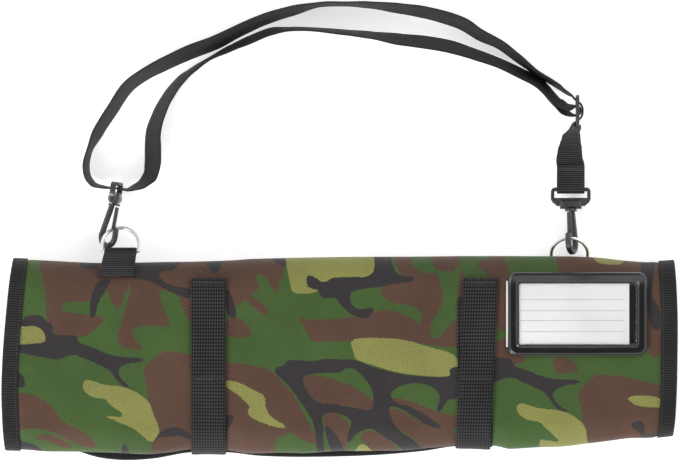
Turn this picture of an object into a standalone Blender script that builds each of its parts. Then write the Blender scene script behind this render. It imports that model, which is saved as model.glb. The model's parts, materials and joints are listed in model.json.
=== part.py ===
"""Chef knife roll: a padded cloth panel wound into a flat roll, lying on its back.

X runs along the roll, +Y points to the side that the shoulder strap lies on, +Z points up.
The origin is the middle of the roll's underside, on the surface that it lies on.
"""

import math

import bmesh
import bpy
from mathutils import Matrix, Vector

# Roll
ROLL_LENGTH = 0.4868
ROLL_DEPTH = 0.142
ROLL_HEIGHT = 0.038
CLOTH = 0.0024
SEAM_CLOTH = 0.0014
WRAP_PITCH = 0.0062
WRAPS = 2.6
FOLD_DEPTH = 0.021
CROWN = 0.0025
FLAT_SHARE = 0.45
CLEAR = 0.0003

# Tape and webbing
TAPE = 0.0008
TAPE_WIDTH = 0.0118
CLOSURE_WIDTH = 0.025
CLOSURE_THICK = 0.0015
CLOSURE_UNDER = 0.032
LOOP_STRIP_THICK = 0.001
TAB_WIDTH = 0.0232
TAB_THICK = 0.0013
STRAP_WIDTH = 0.020
STRAP_THICK = 0.0013

# Places of what is sewn on, from the roll's middle
CLOSURE_LEFT_X = -0.0943
CLOSURE_RIGHT_X = 0.1000
CLOSURE_RIGHT_LEAN = 0.042
CLOSURE_TOP_Y = 0.0553
RING_LEFT_X = -0.1577
RING_RIGHT_X = 0.1660
TAB_TOP_Y = 0.0558
TAB_UNDER_Y = 0.0515

# Card holder
HOLDER_SIZE = (0.1002, 0.0600)
HOLDER_CENTRE = (0.1712, 0.0293)
HOLDER_CORNER = 0.006
HOLDER_LIFT = 0.0005
HOLDER_BACK = 0.0006
HOLDER_COVER = 0.0007
WINDOW_SIZE = (0.0837, 0.0436)
CARD_THICK = 0.0004
CARD_SIZE = (0.0885, 0.0475)
CARD_OUT = 0.0012
FILM = 0.0003

# D-rings
RING_WIRE = 0.0026
RING_RADIUS = 0.0132
RING_STRAIGHT = 0.0063
RING_CORNER = 0.0016
RING_LEFT_BAR = (0.0743, 0.0211)
RING_LEFT_TILT = -30.0
RING_RIGHT_BAR = (0.0669, 0.0030)
RING_RIGHT_TILT = 30.0

# Snap hooks, in each hook's own plane: v runs from the swivel to the strap, u towards the gate
FRAME_WIDTH = 0.0288
FRAME_LENGTH = 0.0154
FRAME_THICK = 0.0040
SLOT_WIDTH = 0.0236
SLOT_LENGTH = 0.0049
FRAME_BAR = 0.0027
BARREL_WIDTH = 0.0156
BARREL_LENGTH = 0.0066
BARREL_THICK = 0.0082
PIN_RADIUS = 0.0020
PIN_HEAD_RADIUS = 0.0030
PIN_HEAD = 0.0014
SWIVEL_CLEAR = 0.0003
HOOK_THICK = 0.0040
HOOK_WIRE = 0.0036
HOOK_LENGTH = 0.0330
HOOK_BEND = 0.0070
HOOK_NOSE_U = 0.0050
NOSE_TOP = 0.0175
COLLAR_RADIUS = 0.0043
COLLAR = 0.0015
GATE_THICK = 0.0014
GATE_WIDTH = 0.0036
GATE_ROOT_U = 0.0034
GATE_LENGTH = 0.0162

# Slider
SLIDER_LENGTH = 0.0228
SLIDER_WIDTH = 0.0270
SLIDER_THICK = 0.0024
SLIDER_BAR = 0.0022
SLIDER_MIDDLE_BAR = 0.0040
SLIDER_SLOT = 0.0216

# Shares of the roll's half depth, at shares of its half length: the back and front silhouettes
OUTLINE = (
    # along, back, front
    (-1.00, 0.975, -0.968),
    (-0.87, 0.950, -0.980),
    (-0.73, 0.930, -0.989),
    (-0.50, 0.940, -1.000),
    (-0.447, 0.942, -0.988),
    (-0.328, 0.955, -0.988),
    (-0.26, 0.970, -1.002),
    (0.00, 0.990, -0.982),
    (0.20, 0.993, -0.966),
    (0.32, 0.997, -0.957),
    (0.36, 0.999, -0.934),
    (0.47, 0.999, -0.930),
    (0.51, 0.999, -0.950),
    (0.74, 0.990, -0.908),
    (0.86, 0.950, -0.858),
    (0.92, 0.938, -0.848),
    (1.00, 0.954, -0.822),
)

# Shares of the half depth that the free edge of the cloth reaches, under the front fold
FREE_EDGE = (
    # along, reach
    (-1.00, -0.900),
    (-0.82, -0.955),
    (-0.72, -1.050),
    (-0.64, -1.078),
    (-0.55, -1.060),
    (-0.447, -1.000),
    (-0.328, -1.000),
    (-0.24, -1.034),
    (-0.10, -1.046),
    (0.10, -1.028),
    (0.25, -0.985),
    (0.345, -0.936),
    (0.475, -0.930),
    (0.60, -0.885),
    (1.00, -0.780),
)

# Distances of the first sections of the cloth from its free edge, before it runs on to the middle
FREE_RUN = (
    # turn, metres
    (-0.25, 0.0),
    (-0.21, 0.0112),
    (-0.20, 0.0150),
    (0.0, 0.0150),
)

# How far the two ends lean in, as shares of the roll's length, at shares of the half depth
END_LEAN = (
    # across, left, right
    (-1.00, 0.0048, 0.0095),
    (-0.72, 0.0016, 0.0041),
    (-0.36, 0.0000, 0.0012),
    (0.00, 0.0020, 0.0003),
    (0.35, 0.0059, 0.0000),
    (0.70, 0.0110, 0.0018),
    (1.00, 0.0170, 0.0046),
)

# The shoulder strap's runs. Across is a share of the way from the left ring to the right one, out is a
# share of STRAP_REACH beyond the roll, and lean is how far the upright webbing tips, in degrees.
STRAP_REACH = 0.1835
TWIST_RUN = (
    # across, out, lean, lift
    (0.9988, 0.3841, -72, 0.002),
    (0.9994, 0.4155, -55, 0.0016),
    (1.0025, 0.4508, -34, 0.0018),
)
OUTER_RUN = (
    # across, out, lean, lift
    (0.9821, 0.6587, 8, 0.001),
    (0.9554, 0.6890, 9, 0),
    (0.9287, 0.7176, 9, 0),
    (0.8798, 0.7843, 16, 0),
    (0.8442, 0.8314, 18, 0),
    (0.7997, 0.8698, 23, 0),
    (0.7663, 0.9087, 26, 0),
    (0.7330, 0.9318, 26, 0),
    (0.6774, 0.9577, 24, 0),
    (0.6217, 0.9730, 20, 0),
    (0.5550, 0.9868, 12, 0),
    (0.4994, 0.9907, 7, 0),
    (0.4438, 0.9883, 8, 0),
    (0.3771, 0.9617, 20, 0),
    (0.3215, 0.9314, 23, 0),
    (0.2659, 0.8883, 25, 0),
    (0.2103, 0.8392, 29, 0),
    (0.1546, 0.8020, 30, 0),
    (0.0990, 0.7568, 28, 0),
    (0.0546, 0.7156, 25, 0),
    (0.0145, 0.6627, 25, 0),
    (-0.0188, 0.5763, 24, 0),
    (-0.0500, 0.4900, 22, 0),
    (-0.0700, 0.4155, 10, 0),
    (-0.0778, 0.3527, 12, 0),
    (-0.0722, 0.3056, 12, 0.0006),
    (-0.0589, 0.2801, 9, 0.0018),
    (-0.0366, 0.2695, 4, 0.0042),
)
INNER_RUN = (
    # across, out, lean, lift
    (0.0179, 0.2601, 5, 0.0042),
    (0.0445, 0.2781, 18, 0.0012),
    (0.0646, 0.3135, 31, 0),
    (0.0708, 0.3645, 36, 0),
    (0.0712, 0.4233, 36, 0),
    (0.0724, 0.4861, 33, 0),
    (0.0846, 0.5567, 28, 0),
    (0.1035, 0.6234, 23, 0),
    (0.1324, 0.6901, 18, 0),
    (0.1591, 0.7294, 11, 0),
    (0.1969, 0.7745, 6, 0),
    (0.2436, 0.8157, 13, 0),
    (0.2881, 0.8502, 17, 0),
    (0.3326, 0.8816, 16, 0),
    (0.3771, 0.8918, 8, 0),
    (0.4216, 0.8914, 7, 0),
    (0.4994, 0.8789, 11, 0),
    (0.5550, 0.8687, 15, 0),
    (0.6217, 0.8514, 25, 0),
    (0.6774, 0.8404, 28, 0),
    (0.7330, 0.8231, 28, 0),
    (0.7886, 0.7925, 24, 0),
    (0.8442, 0.7572, 16, 0),
    (0.8887, 0.7188, 12, 0),
    (0.9331, 0.6744, 7, 0),
    (0.9610, 0.6183, 5, 0.0018),
)

# How the strap threads the slider: shares of half the slider's length along it, and thicknesses of the
# webbing off its middle plane, on the side of the two long runs (negative) or on the far side.
SLIDER_MAIN = (
    (1.25, -2.1), (1.02, -1.95), (0.86, -1.85), (0.71, -0.60), (0.56, 0.80), (0.38, 2.20),
    (0.18, 2.80), (0.0, 2.90), (-0.18, 2.80), (-0.38, 2.10), (-0.54, 0.80), (-0.65, -0.40),
    (-0.75, -1.55), (-0.85, -2.25), (-0.97, -3.00), (-1.07, -4.15),
)
SLIDER_LOOP = (
    (-0.30, -9.50), (-0.05, -7.80), (0.16, -5.20), (0.272, -2.60), (0.268, 0.0), (0.20, 1.38),
    (0.08, 1.62), (-0.08, 1.62), (-0.205, 1.32), (-0.285, 0.0), (-0.29, -1.80), (-0.235, -3.80),
    (-0.235, -6.00), (-0.38, -8.10), (-0.55, -10.0),
)
SLIDER_AT = (1.0173, 0.5700, 0.0148)
SLIDER_HEADING = (0.0, -1.0)

LEFT_HOOK_TURN = 45.0
LEFT_FRAME_TURN = 100.0
LEFT_HOOK_AXIS = (0.130, 0.984, 0.0)
LEFT_SLOT_AT = (-0.0098, 0.2660, 0.0150)
RIGHT_HOOK_TURN = 112.0
RIGHT_FRAME_TURN = 0.0
RIGHT_HOOK_AXIS = (0.0, 0.985, -0.12)
RIGHT_SWIVEL_AT = (1.0028, 0.1853, 0.0098)

COLOURS = {
    "camouflage": ((0.07, 0.09, 0.04), 0.85, 0.0),
    "webbing": ((0.012, 0.012, 0.013), 0.8, 0.0),
    "steel": ((0.62, 0.62, 0.60), 0.25, 1.0),
    "plastic": ((0.02, 0.02, 0.022), 0.4, 0.0),
    "vinyl": ((0.012, 0.012, 0.013), 0.3, 0.0),
    "paper": ((0.85, 0.85, 0.84), 0.7, 0.0),
    "film": ((0.80, 0.82, 0.84), 0.1, 0.0),
}


def new_collection(name):
    made = bpy.data.collections.new(name)
    bpy.context.scene.collection.children.link(made)
    return made


def material(name):
    made = bpy.data.materials.get(name)
    if made is None:
        colour, roughness, metallic = COLOURS[name]
        made = bpy.data.materials.new(name)
        made.use_nodes = True
        shader = made.node_tree.nodes["Principled BSDF"]
        shader.inputs["Base Color"].default_value = (*colour, 1.0)
        shader.inputs["Roughness"].default_value = roughness
        shader.inputs["Metallic"].default_value = metallic
    return made


def object_from(name, mesh, finish, collection):
    made = bpy.data.objects.new(name, mesh)
    made.data.materials.clear()
    made.data.materials.append(material(finish))
    collection.objects.link(made)
    return made


def table_value(table, column, at):
    """A smooth curve through one column of a table, read at a value of its first column."""
    rows = [row for row in table]
    if at <= rows[0][0]:
        return rows[0][column]
    if at >= rows[-1][0]:
        return rows[-1][column]
    i = max(k for k in range(len(rows) - 1) if rows[k][0] <= at)
    span = rows[i + 1][0] - rows[i][0]

    def slope(k):
        low, high = max(k - 1, 0), min(k + 1, len(rows) - 1)
        return (rows[high][column] - rows[low][column]) / (rows[high][0] - rows[low][0])

    t = (at - rows[i][0]) / span
    a, b = rows[i][column], rows[i + 1][column]
    start = slope(i) * span
    end = slope(i + 1) * span
    return (
        a * (2 * t**3 - 3 * t**2 + 1)
        + start * (t**3 - 2 * t**2 + t)
        + b * (3 * t**2 - 2 * t**3)
        + end * (t**3 - t**2)
    )


def smooth(low, high, value):
    t = min(max((value - low) / (high - low), 0.0), 1.0)
    return t * t * (3 - 2 * t)


# The wound cloth


def back_edge(along):
    return table_value(OUTLINE, 1, along) * ROLL_DEPTH / 2


def front_edge(along):
    return table_value(OUTLINE, 2, along) * ROLL_DEPTH / 2


def free_edge(along):
    """Where the tape on the free edge ends, towards -Y."""
    return table_value(FREE_EDGE, 1, along) * ROLL_DEPTH / 2


def drawn_in(turn):
    """How far a wrap has moved inward at a turn: 0 is the middle of the underside, 0.25 the back fold."""
    return WRAP_PITCH * (math.floor(turn) + min(max((turn % 1.0 - 0.2) / 0.6, 0.0), 1.0))


def at_end(along):
    """1 under the tape at the roll's ends, 0 in its field."""
    from_end = (1 - abs(along)) * ROLL_LENGTH / 2
    return 1 - smooth(TAPE_WIDTH + 0.001, TAPE_WIDTH + 0.012, from_end)


def tape_half():
    return SEAM_CLOTH / 2 + CLEAR + TAPE


def lifted_to(x, y, along):
    """The least height of the outer wrap's middle, where it lies on a strap, a tab or its own tape."""
    low = CLOTH / 2
    edge = 1 - smooth(TAPE_WIDTH + 0.001, TAPE_WIDTH + 0.008, y - free_edge(along))
    low += (tape_half() - CLOTH / 2) * max(edge, at_end(along))
    for centre in (CLOSURE_LEFT_X, closure_right_x(y)):
        beside = 1 - smooth(CLOSURE_WIDTH / 2 + 0.007, CLOSURE_WIDTH / 2 + 0.017, abs(x - centre))
        inside = y - free_edge(along)
        under = 1 - smooth(CLOSURE_UNDER + 0.001, CLOSURE_UNDER + 0.012, inside)
        low = max(low, CLOTH / 2 + (CLOSURE_THICK + 2 * CLEAR + tape_half() - CLOTH / 2) * beside * under)
    beside = 1 - smooth(TAB_WIDTH / 2 + 0.002, TAB_WIDTH / 2 + 0.012, abs(x - RING_RIGHT_X))
    under = smooth(TAB_UNDER_Y - 0.020, TAB_UNDER_Y - 0.0035, y)
    return max(low, CLOTH / 2 + (2 * TAB_THICK + 2 * CLEAR) * beside * under)


def closure_right_x(y):
    return CLOSURE_RIGHT_X + CLOSURE_RIGHT_LEAN * y


def wrap_point(along, turn):
    """(y, z) of the middle of the cloth, on the section at one share of the half length."""
    bottom = CLOTH / 2 + (tape_half() - CLOTH / 2) * at_end(along)
    back = back_edge(along) - CLOTH / 2
    front = front_edge(along) + CLOTH / 2
    half_depth = (back - front + WRAP_PITCH) / 2
    middle = back - half_depth + drawn_in(0.25)
    half_height = (ROLL_HEIGHT - CROWN - CLOTH / 2 - bottom + WRAP_PITCH / 2) / 2
    centre = bottom + half_height
    if turn < 0:
        start = free_edge(along) + TAPE + CLEAR
        run = next(r for t, r in reversed(FREE_RUN) if turn >= t - 1e-6)
        return (start + run if turn < -0.195 else middle + (start + run - middle) * turn / -0.20), bottom
    share = turn % 1.0
    inward = drawn_in(turn)
    depth = half_depth - inward
    height = half_height - inward
    fold = FOLD_DEPTH - 0.8 * inward
    side = 1 if share < 0.5 else -1
    upper = 0.25 <= share < 0.75
    out = abs(((share * 4 + 1) % 2) - 1)
    if out < FLAT_SHARE:
        y, z = (depth - fold) * out / FLAT_SHARE, height
    else:
        angle = (out - FLAT_SHARE) / (1 - FLAT_SHARE) * math.pi / 2
        y = depth - fold + fold * math.sin(angle)
        z = height * math.cos(angle)
    crown = CROWN * (1 - (y / depth) ** 2) if upper else 0.0
    return middle + side * y, centre + (z if upper else -z) + crown


def cloth_half(along, turn):
    """Half the cloth's thickness, which the tape presses thin at the edges."""
    from_end = (1 - abs(along)) * ROLL_LENGTH / 2
    thin = 1 - smooth(TAPE_WIDTH + 0.001, TAPE_WIDTH + 0.003, from_end)
    if turn < 0:
        inside = wrap_point(along, turn)[0] - free_edge(along)
        thin = max(thin, 1 - smooth(TAPE_WIDTH + 0.001, TAPE_WIDTH + 0.003, inside))
    return (CLOTH + (SEAM_CLOTH - CLOTH) * thin) / 2


def end_lean(along, y):
    """How far the ends' slant moves a point along X."""
    column = 1 if along < 0 else 2
    inward = table_value(END_LEAN, column, y / (ROLL_DEPTH / 2)) * ROLL_LENGTH
    return -math.copysign(inward * along**2, along)


def wrap_turns():
    """The turns at which the section is cut: close in the outer folds and wider inside."""
    free = [-0.25, -0.21, -0.20, -0.175, -0.14, -0.10, -0.05]
    found = list(free)
    quarter = 0
    while quarter / 4 < WRAPS:
        fine = quarter < 4
        bends = 4 if fine else 2
        flats = 2 if fine else 1
        out = [FLAT_SHARE * k / flats for k in range(flats)]
        out += [FLAT_SHARE + (1 - FLAT_SHARE) * k / bends for k in range(bends + 1)]
        if quarter % 2:
            out = [1 - o for o in reversed(out)]
        found += [(quarter + o) / 4 for o in out if (quarter + o) / 4 <= WRAPS]
        quarter += 1
    return sorted(set(round(t, 6) for t in found))


TURNS = wrap_turns()


def section(along, turns=TURNS):
    """Each turn's point on the cloth's middle and its normal, in space; the normal points outward."""
    flat = []
    for turn in turns:
        y, z = wrap_point(along, turn)
        x = along * ROLL_LENGTH / 2
        if turn < 0.2:
            z = max(z, lifted_to(x, y, along))
        flat.append((y, z))
    rows = []
    for k, (y, z) in enumerate(flat):
        before, after = flat[max(k - 1, 0)], flat[min(k + 1, len(flat) - 1)]
        run = Vector((after[0] - before[0], after[1] - before[1])).normalized()
        x = along * ROLL_LENGTH / 2 + end_lean(along, y)
        rows.append((Vector((x, y, z)), Vector((0.0, run.y, -run.x))))
    return rows


def thick_loft(name, outer, inner, finish, collection):
    """One closed solid between two grids of points with the same rows and columns."""
    rows, columns = len(outer), len(outer[0])
    mesh = bmesh.new()
    grids = [[[mesh.verts.new(p) for p in row] for row in grid] for grid in (outer, inner)]
    a, b = grids
    for i in range(rows - 1):
        for j in range(columns - 1):
            mesh.faces.new((a[i][j], a[i][j + 1], a[i + 1][j + 1], a[i + 1][j]))
            mesh.faces.new((b[i][j], b[i + 1][j], b[i + 1][j + 1], b[i][j + 1]))
        for j in (0, columns - 1):
            mesh.faces.new((a[i][j], a[i + 1][j], b[i + 1][j], b[i][j]))
    for j in range(columns - 1):
        for i in (0, rows - 1):
            mesh.faces.new((a[i][j], b[i][j], b[i][j + 1], a[i][j + 1]))
    bmesh.ops.recalc_face_normals(mesh, faces=mesh.faces)
    data = bpy.data.meshes.new(name)
    mesh.to_mesh(data)
    mesh.free()
    data.shade_smooth()
    data.set_sharp_from_angle(angle=math.radians(35))
    return object_from(name, data, finish, collection)


def stations():
    """Shares of the half length at which the roll's section is cut."""
    half = ROLL_LENGTH / 2
    places = [RING_LEFT_X, -0.012, 0.030]
    for end in (-1, 1):
        edge = end * (half - TAPE - CLEAR)
        places += [edge, end * (half - TAPE_WIDTH - 0.001), end * (half - TAPE_WIDTH - 0.003)]
    for centre in (CLOSURE_LEFT_X, CLOSURE_RIGHT_X - 0.001):
        for beside in (0.017, 0.028):
            places += [centre - beside, centre + beside]
    places += [RING_RIGHT_X - 0.026, RING_RIGHT_X - 0.014, RING_RIGHT_X + 0.014, RING_RIGHT_X + 0.026]
    places += [RING_LEFT_X - 0.035, CLOSURE_LEFT_X + 0.045]
    return sorted(p / half for p in places)


STATIONS = stations()
SECTIONS = {}


def section_at(x):
    """The cut at one X of the cloth as built, which is straight between two stations."""
    half = ROLL_LENGTH / 2
    along = x / half
    k = max(i for i in range(len(STATIONS) - 1) if i == 0 or STATIONS[i] <= along)
    for station in STATIONS[k:k + 2]:
        if station not in SECTIONS:
            SECTIONS[station] = section(station)
    share = (along - STATIONS[k]) / (STATIONS[k + 1] - STATIONS[k])
    near, far = SECTIONS[STATIONS[k]], SECTIONS[STATIONS[k + 1]]
    rows = []
    for (p, n), (q, m) in zip(near, far):
        point = p.lerp(q, share)
        rows.append((Vector((x, point.y, point.z)), n.lerp(m, share).normalized()))
    return rows


def upper_line(x, above):
    """(turn, point) along the cloth's outer face at one X, from the back fold to the front one."""
    rows = section_at(x)
    height = CLOTH / 2 + above
    return [(t, p + n * height) for t, (p, n) in zip(TURNS, rows) if 0.2 <= t <= 0.85]


def top_point(x, y, above):
    """A point above the cloth's outer face on the upper side."""
    line = [p for t, p in upper_line(x, above) if 0.25 <= t <= 0.75]
    for a, b in zip(line, line[1:]):
        if b.y <= y <= a.y:
            return a.lerp(b, (a.y - y) / (a.y - b.y))
    return line[0] if y > line[0].y else line[-1]


def upper_breaks(x):
    """The Y of each crease line of the upper side at one X."""
    return [p.y for t, p in upper_line(x, 0.0) if 0.25 <= t <= 0.75]


def build_roll_panel(parts):
    outer, inner = [], []
    for along in STATIONS:
        rows = section(along)
        halves = [cloth_half(along, turn) for turn in TURNS]
        outer.append([p + n * h for (p, n), h in zip(rows, halves)])
        inner.append([p - n * h for (p, n), h in zip(rows, halves)])
    thick_loft("roll_panel", outer, inner, "camouflage", parts)


def build_end_binding(name, end, parts):
    """Tape folded over one side edge, all the way along the wound cloth."""
    half = ROLL_LENGTH / 2
    near = end * (half - TAPE_WIDTH) / half
    far_in = end * (half - TAPE) / half
    far = float(end)
    outer_row = ((near, 1), (far, 0.8), (far, -0.8), (near, -1))
    inner_row = ((near, 1), (far_in, 1), (far_in, -1), (near, -1))
    outer, inner = [], []
    sections = {share: section(share) for share, _ in outer_row + inner_row}
    for k in range(len(TURNS)):
        outer.append([sections[s][k][0] + sections[s][k][1] * side * tape_half() for s, side in outer_row])
        reach = SEAM_CLOTH / 2 + CLEAR
        inner.append([sections[s][k][0] + sections[s][k][1] * side * reach for s, side in inner_row])
    thick_loft(name, outer, inner, "webbing", parts)


def taped_edge(x):
    """(y, z) of the free edge at one X: the tape's outer edge and the cloth's middle."""
    start = section_at(x)[0][0]
    return start.y - TAPE - CLEAR, start.z


def build_flap_binding(parts):
    """Tape folded over the free edge, between the two end tapes."""
    half = ROLL_LENGTH / 2
    limit = half - TAPE_WIDTH - CLEAR
    places = [-limit, limit] + [s * half for s in STATIONS if abs(s * half) < limit]
    outer, inner = [], []
    for x in sorted(places):
        edge, middle = taped_edge(x)
        x_shown = x + end_lean(x / half, edge)
        reach = SEAM_CLOTH / 2 + CLEAR
        mouth = edge + TAPE_WIDTH
        outer_row = ((mouth, 1), (edge, 0.8), (edge, -0.8), (mouth, -1))
        inner_row = ((mouth, 1), (edge + TAPE, 1), (edge + TAPE, -1), (mouth, -1))
        outer.append([Vector((x_shown, y, middle + s * tape_half())) for y, s in outer_row])
        inner.append([Vector((x_shown, y, middle + s * reach)) for y, s in inner_row])
    thick_loft("flap_binding", outer, inner, "webbing", parts)


# Straps and strips on the roll


def strap_column(x, top_y, above, last):
    """Points on the front of the roll at one X, from a Y on the upper side to a turn past the fold."""
    line = upper_line(x, above)
    start = top_point(x, top_y, above)
    kept = [p for t, p in line if p.y < top_y - 0.0006 and 0.3 < t <= last]
    return [start] + kept


def build_loop_strip(name, x, top_y, parts):
    grids = []
    for above in (CLEAR + LOOP_STRIP_THICK, CLEAR):
        columns = [strap_column(x + side * CLOSURE_WIDTH / 2, top_y, above, 0.752) for side in (-1, 1)]
        grids.append([list(pair) for pair in zip(*columns)])
    thick_loft(name, grids[0], grids[1], "webbing", parts)


def build_closure_strap(name, centre_at, parts):
    """From its end on the front, over the front fold and the taped edge, to its seam underneath."""
    middle_x = centre_at(0.0)
    above = 2 * CLEAR + LOOP_STRIP_THICK + CLEAR / 3
    grids = []
    for thick in (CLOSURE_THICK, 0.0):
        columns = []
        for side in (-1, 1):
            x = middle_x + side * CLOSURE_WIDTH / 2
            edge, middle = taped_edge(x)
            line = strap_column(x, CLOSURE_TOP_Y, above + thick, 0.80)
            turned = tape_half() + CLEAR + thick
            kept = [p for p in line if p.z > middle + turned + 0.001]
            low_y = min(kept[-1].y, edge - CLEAR - thick)
            kept.append(Vector((x, min(low_y, kept[-1].y + 0.0006), middle + turned * 0.9)))
            for share in (0.45, 0.0, -0.45):
                kept.append(Vector((x, edge - CLEAR - thick, middle + turned * share)))
            kept.append(Vector((x, edge - CLEAR - thick * 0.5, middle - turned * 0.84)))
            for y in (edge + TAPE, edge + CLOSURE_UNDER / 2, edge + CLOSURE_UNDER):
                kept.append(Vector((x, y, middle - turned)))
            columns.append([p + Vector((centre_at(p.y) - middle_x, 0, 0)) for p in kept])
        grids.append([list(pair) for pair in zip(*columns)])
    thick_loft(name, grids[0], grids[1], "webbing", parts)


def ribbon(name, points, widths, width, thick, finish, parts):
    """Webbing along a line; each point has the direction of its upper edge."""
    outer, inner = [], []
    for k, (p, w) in enumerate(zip(points, widths)):
        before, after = points[max(k - 1, 0)], points[min(k + 1, len(points) - 1)]
        run = (after - before).normalized()
        across = (w - run * w.dot(run)).normalized()
        face = run.cross(across).normalized()
        edges = [p + across * side * width / 2 for side in (-1, 1)]
        outer.append([e + face * thick / 2 for e in edges])
        inner.append([e - face * thick / 2 for e in edges])
    return thick_loft(name, outer, inner, finish, parts)


def build_ring_tab(name, x, bar, seam, parts, cutters):
    """Two layers sewn together from the seam to the ring, parted round its bar."""
    thick = TAB_THICK
    centre = Vector(bar)
    line = [Vector(p) for p in seam]
    start = line[-1] - centre
    first = math.atan2(start.y, start.x)
    hole_radius = RING_WIRE / 2 + CLEAR
    loop_radius = hole_radius + TAB_THICK
    sides = ([], [])
    for k, p in enumerate(line):
        before, after = line[max(k - 1, 0)], line[min(k + 1, len(line) - 1)]
        run = (after - before).normalized()
        normal = Vector((-run.y, run.x))
        sides[0].append(p + normal * thick)
        sides[1].append(p - normal * thick)
    spread = math.asin(min(thick / loop_radius, 1.0)) + 0.35
    arc = []
    for step in range(11):
        angle = first - spread - (2 * math.pi - 2 * spread) * step / 10
        arc.append(centre + Vector((math.cos(angle), math.sin(angle))) * loop_radius)
    outline = [tuple(p) for p in sides[0] + arc + list(reversed(sides[1]))]
    hole = []
    for step in range(10):
        angle = math.pi * 2 * step / 10
        hole.append(tuple(centre + Vector((math.cos(angle), math.sin(angle))) * hole_radius / 0.951))
    mesh = flat_outline(name, [outline, hole], TAB_WIDTH, 0.0, cutters)
    made = object_from(name, mesh, "webbing", parts)
    turned = Matrix(((0, 0, 1, x), (1, 0, 0, 0), (0, 1, 0, 0), (0, 0, 0, 1)))
    made.matrix_world = turned


def build_d_ring(name, x, bar, tilt, parts):
    """Wire bent to a D, its straight side in the tab."""
    slope = math.radians(tilt)
    inset = RING_RADIUS - RING_CORNER
    turn = RING_CORNER * (1 - math.sqrt(0.5))
    flat = [(-inset, 0.0), (-RING_RADIUS + turn, turn), (-RING_RADIUS, RING_CORNER)]
    arc = 18
    for step in range(arc + 1):
        angle = math.pi * (1 - step / arc)
        flat.append((RING_RADIUS * math.cos(angle), RING_STRAIGHT + RING_RADIUS * math.sin(angle)))
    flat += [(RING_RADIUS, RING_CORNER), (RING_RADIUS - turn, turn), (inset, 0.0)]
    data = bpy.data.curves.new(name, "CURVE")
    data.dimensions = "3D"
    line = data.splines.new("POLY")
    line.points.add(len(flat) - 1)
    for point, (across, out) in zip(line.points, flat):
        place = (x + across, bar[0] + out * math.cos(slope), bar[1] + out * math.sin(slope))
        point.co = (*place, 1.0)
    line.use_cyclic_u = True
    data.bevel_depth = RING_WIRE / 2
    data.bevel_resolution = 2
    object_from(name, data, "steel", parts)


# Card holder


def surface_sheet(name, box, low, high, finish, parts):
    """A sheet that follows the front of the roll, between two heights off the cloth."""
    x0, y0, x1, y1 = box
    half = ROLL_LENGTH / 2
    inside = [s * half for s in STATIONS if x0 + 0.0005 < s * half < x1 - 0.0005]
    places = [x0] + inside + [x1]
    found = sorted(y for x in places[::2] for y in upper_breaks(x) if y0 + 0.001 < y < y1 - 0.001)
    creases = [y for k, y in enumerate(found) if k == 0 or y - found[k - 1] > 0.0007]
    rows = [y1] + creases[::-1] + [y0]
    grids = [[[top_point(x, y, above) for y in rows] for x in places] for above in (high, low)]
    return thick_loft(name, grids[0], grids[1], finish, parts)


def rounded_plate(name, size, corner, centre, thick, cutters):
    """A flat plate with round corners, standing from z 0 to its thickness."""
    bpy.ops.mesh.primitive_cube_add(size=1.0)
    made = bpy.context.object
    made.name = name
    made.data.transform(Matrix.Diagonal((size[0], size[1], thick, 1.0)))
    made.data.transform(Matrix.Translation((centre[0], centre[1], thick / 2)))
    mesh = bmesh.new()
    mesh.from_mesh(made.data)
    upright = [e for e in mesh.edges if abs(e.verts[0].co.z - e.verts[1].co.z) > thick / 2]
    bmesh.ops.bevel(mesh, geom=upright, offset=corner, segments=4, affect="EDGES", profile=0.5)
    mesh.to_mesh(made.data)
    mesh.free()
    move_to(made, cutters)
    return made


def move_to(made, collection):
    for old in list(made.users_collection):
        old.objects.unlink(made)
    collection.objects.link(made)
    if collection.name == "cutters":
        made.hide_render = True
        made.display_type = "WIRE"


def cut(made, cutter, operation):
    step = made.modifiers.new(cutter.name, "BOOLEAN")
    step.operation = operation
    step.object = cutter
    step.solver = "EXACT"


def box_about(centre, size, grow=0.0):
    return (
        centre[0] - size[0] / 2 - grow,
        centre[1] - size[1] / 2 - grow,
        centre[0] + size[0] / 2 + grow,
        centre[1] + size[1] / 2 + grow,
    )


def build_card_holder(parts, cutters):
    room = CARD_THICK + 2.6 * CLEAR
    back_high = HOLDER_LIFT + HOLDER_BACK
    card_low = back_high + CLEAR
    cover_low = back_high + room
    top = cover_low + HOLDER_COVER
    holder = surface_sheet(
        "card_holder", box_about(HOLDER_CENTRE, HOLDER_SIZE, 0.001), HOLDER_LIFT, top, "vinyl", parts
    )
    outline = rounded_plate(
        "holder_outline", HOLDER_SIZE, HOLDER_CORNER, HOLDER_CENTRE, 2 * ROLL_HEIGHT, cutters
    )
    cut(holder, outline, "INTERSECT")
    window = surface_sheet(
        "window_cut", box_about(HOLDER_CENTRE, WINDOW_SIZE), back_high, 3 * top,
        "vinyl", cutters,
    )
    left = HOLDER_CENTRE[0] - HOLDER_SIZE[0] / 2
    card_box = (
        left - CARD_OUT,
        HOLDER_CENTRE[1] - CARD_SIZE[1] / 2,
        left - CARD_OUT + CARD_SIZE[0],
        HOLDER_CENTRE[1] + CARD_SIZE[1] / 2,
    )
    slot_box = (card_box[0] - CARD_OUT, card_box[1] - CLEAR, card_box[2] + CLEAR, card_box[3] + CLEAR)
    slot = surface_sheet("card_slot", slot_box, back_high, cover_low, "vinyl", cutters)
    for cutter in (window, slot):
        move_to(cutter, cutters)
        cut(holder, cutter, "DIFFERENCE")
    surface_sheet("card", card_box, card_low, card_low + CARD_THICK, "paper", parts)
    film_box = box_about(HOLDER_CENTRE, WINDOW_SIZE, -CLEAR)
    surface_sheet("card_window", film_box, cover_low, cover_low + FILM, "film", parts)


# Hooks and slider


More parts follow.
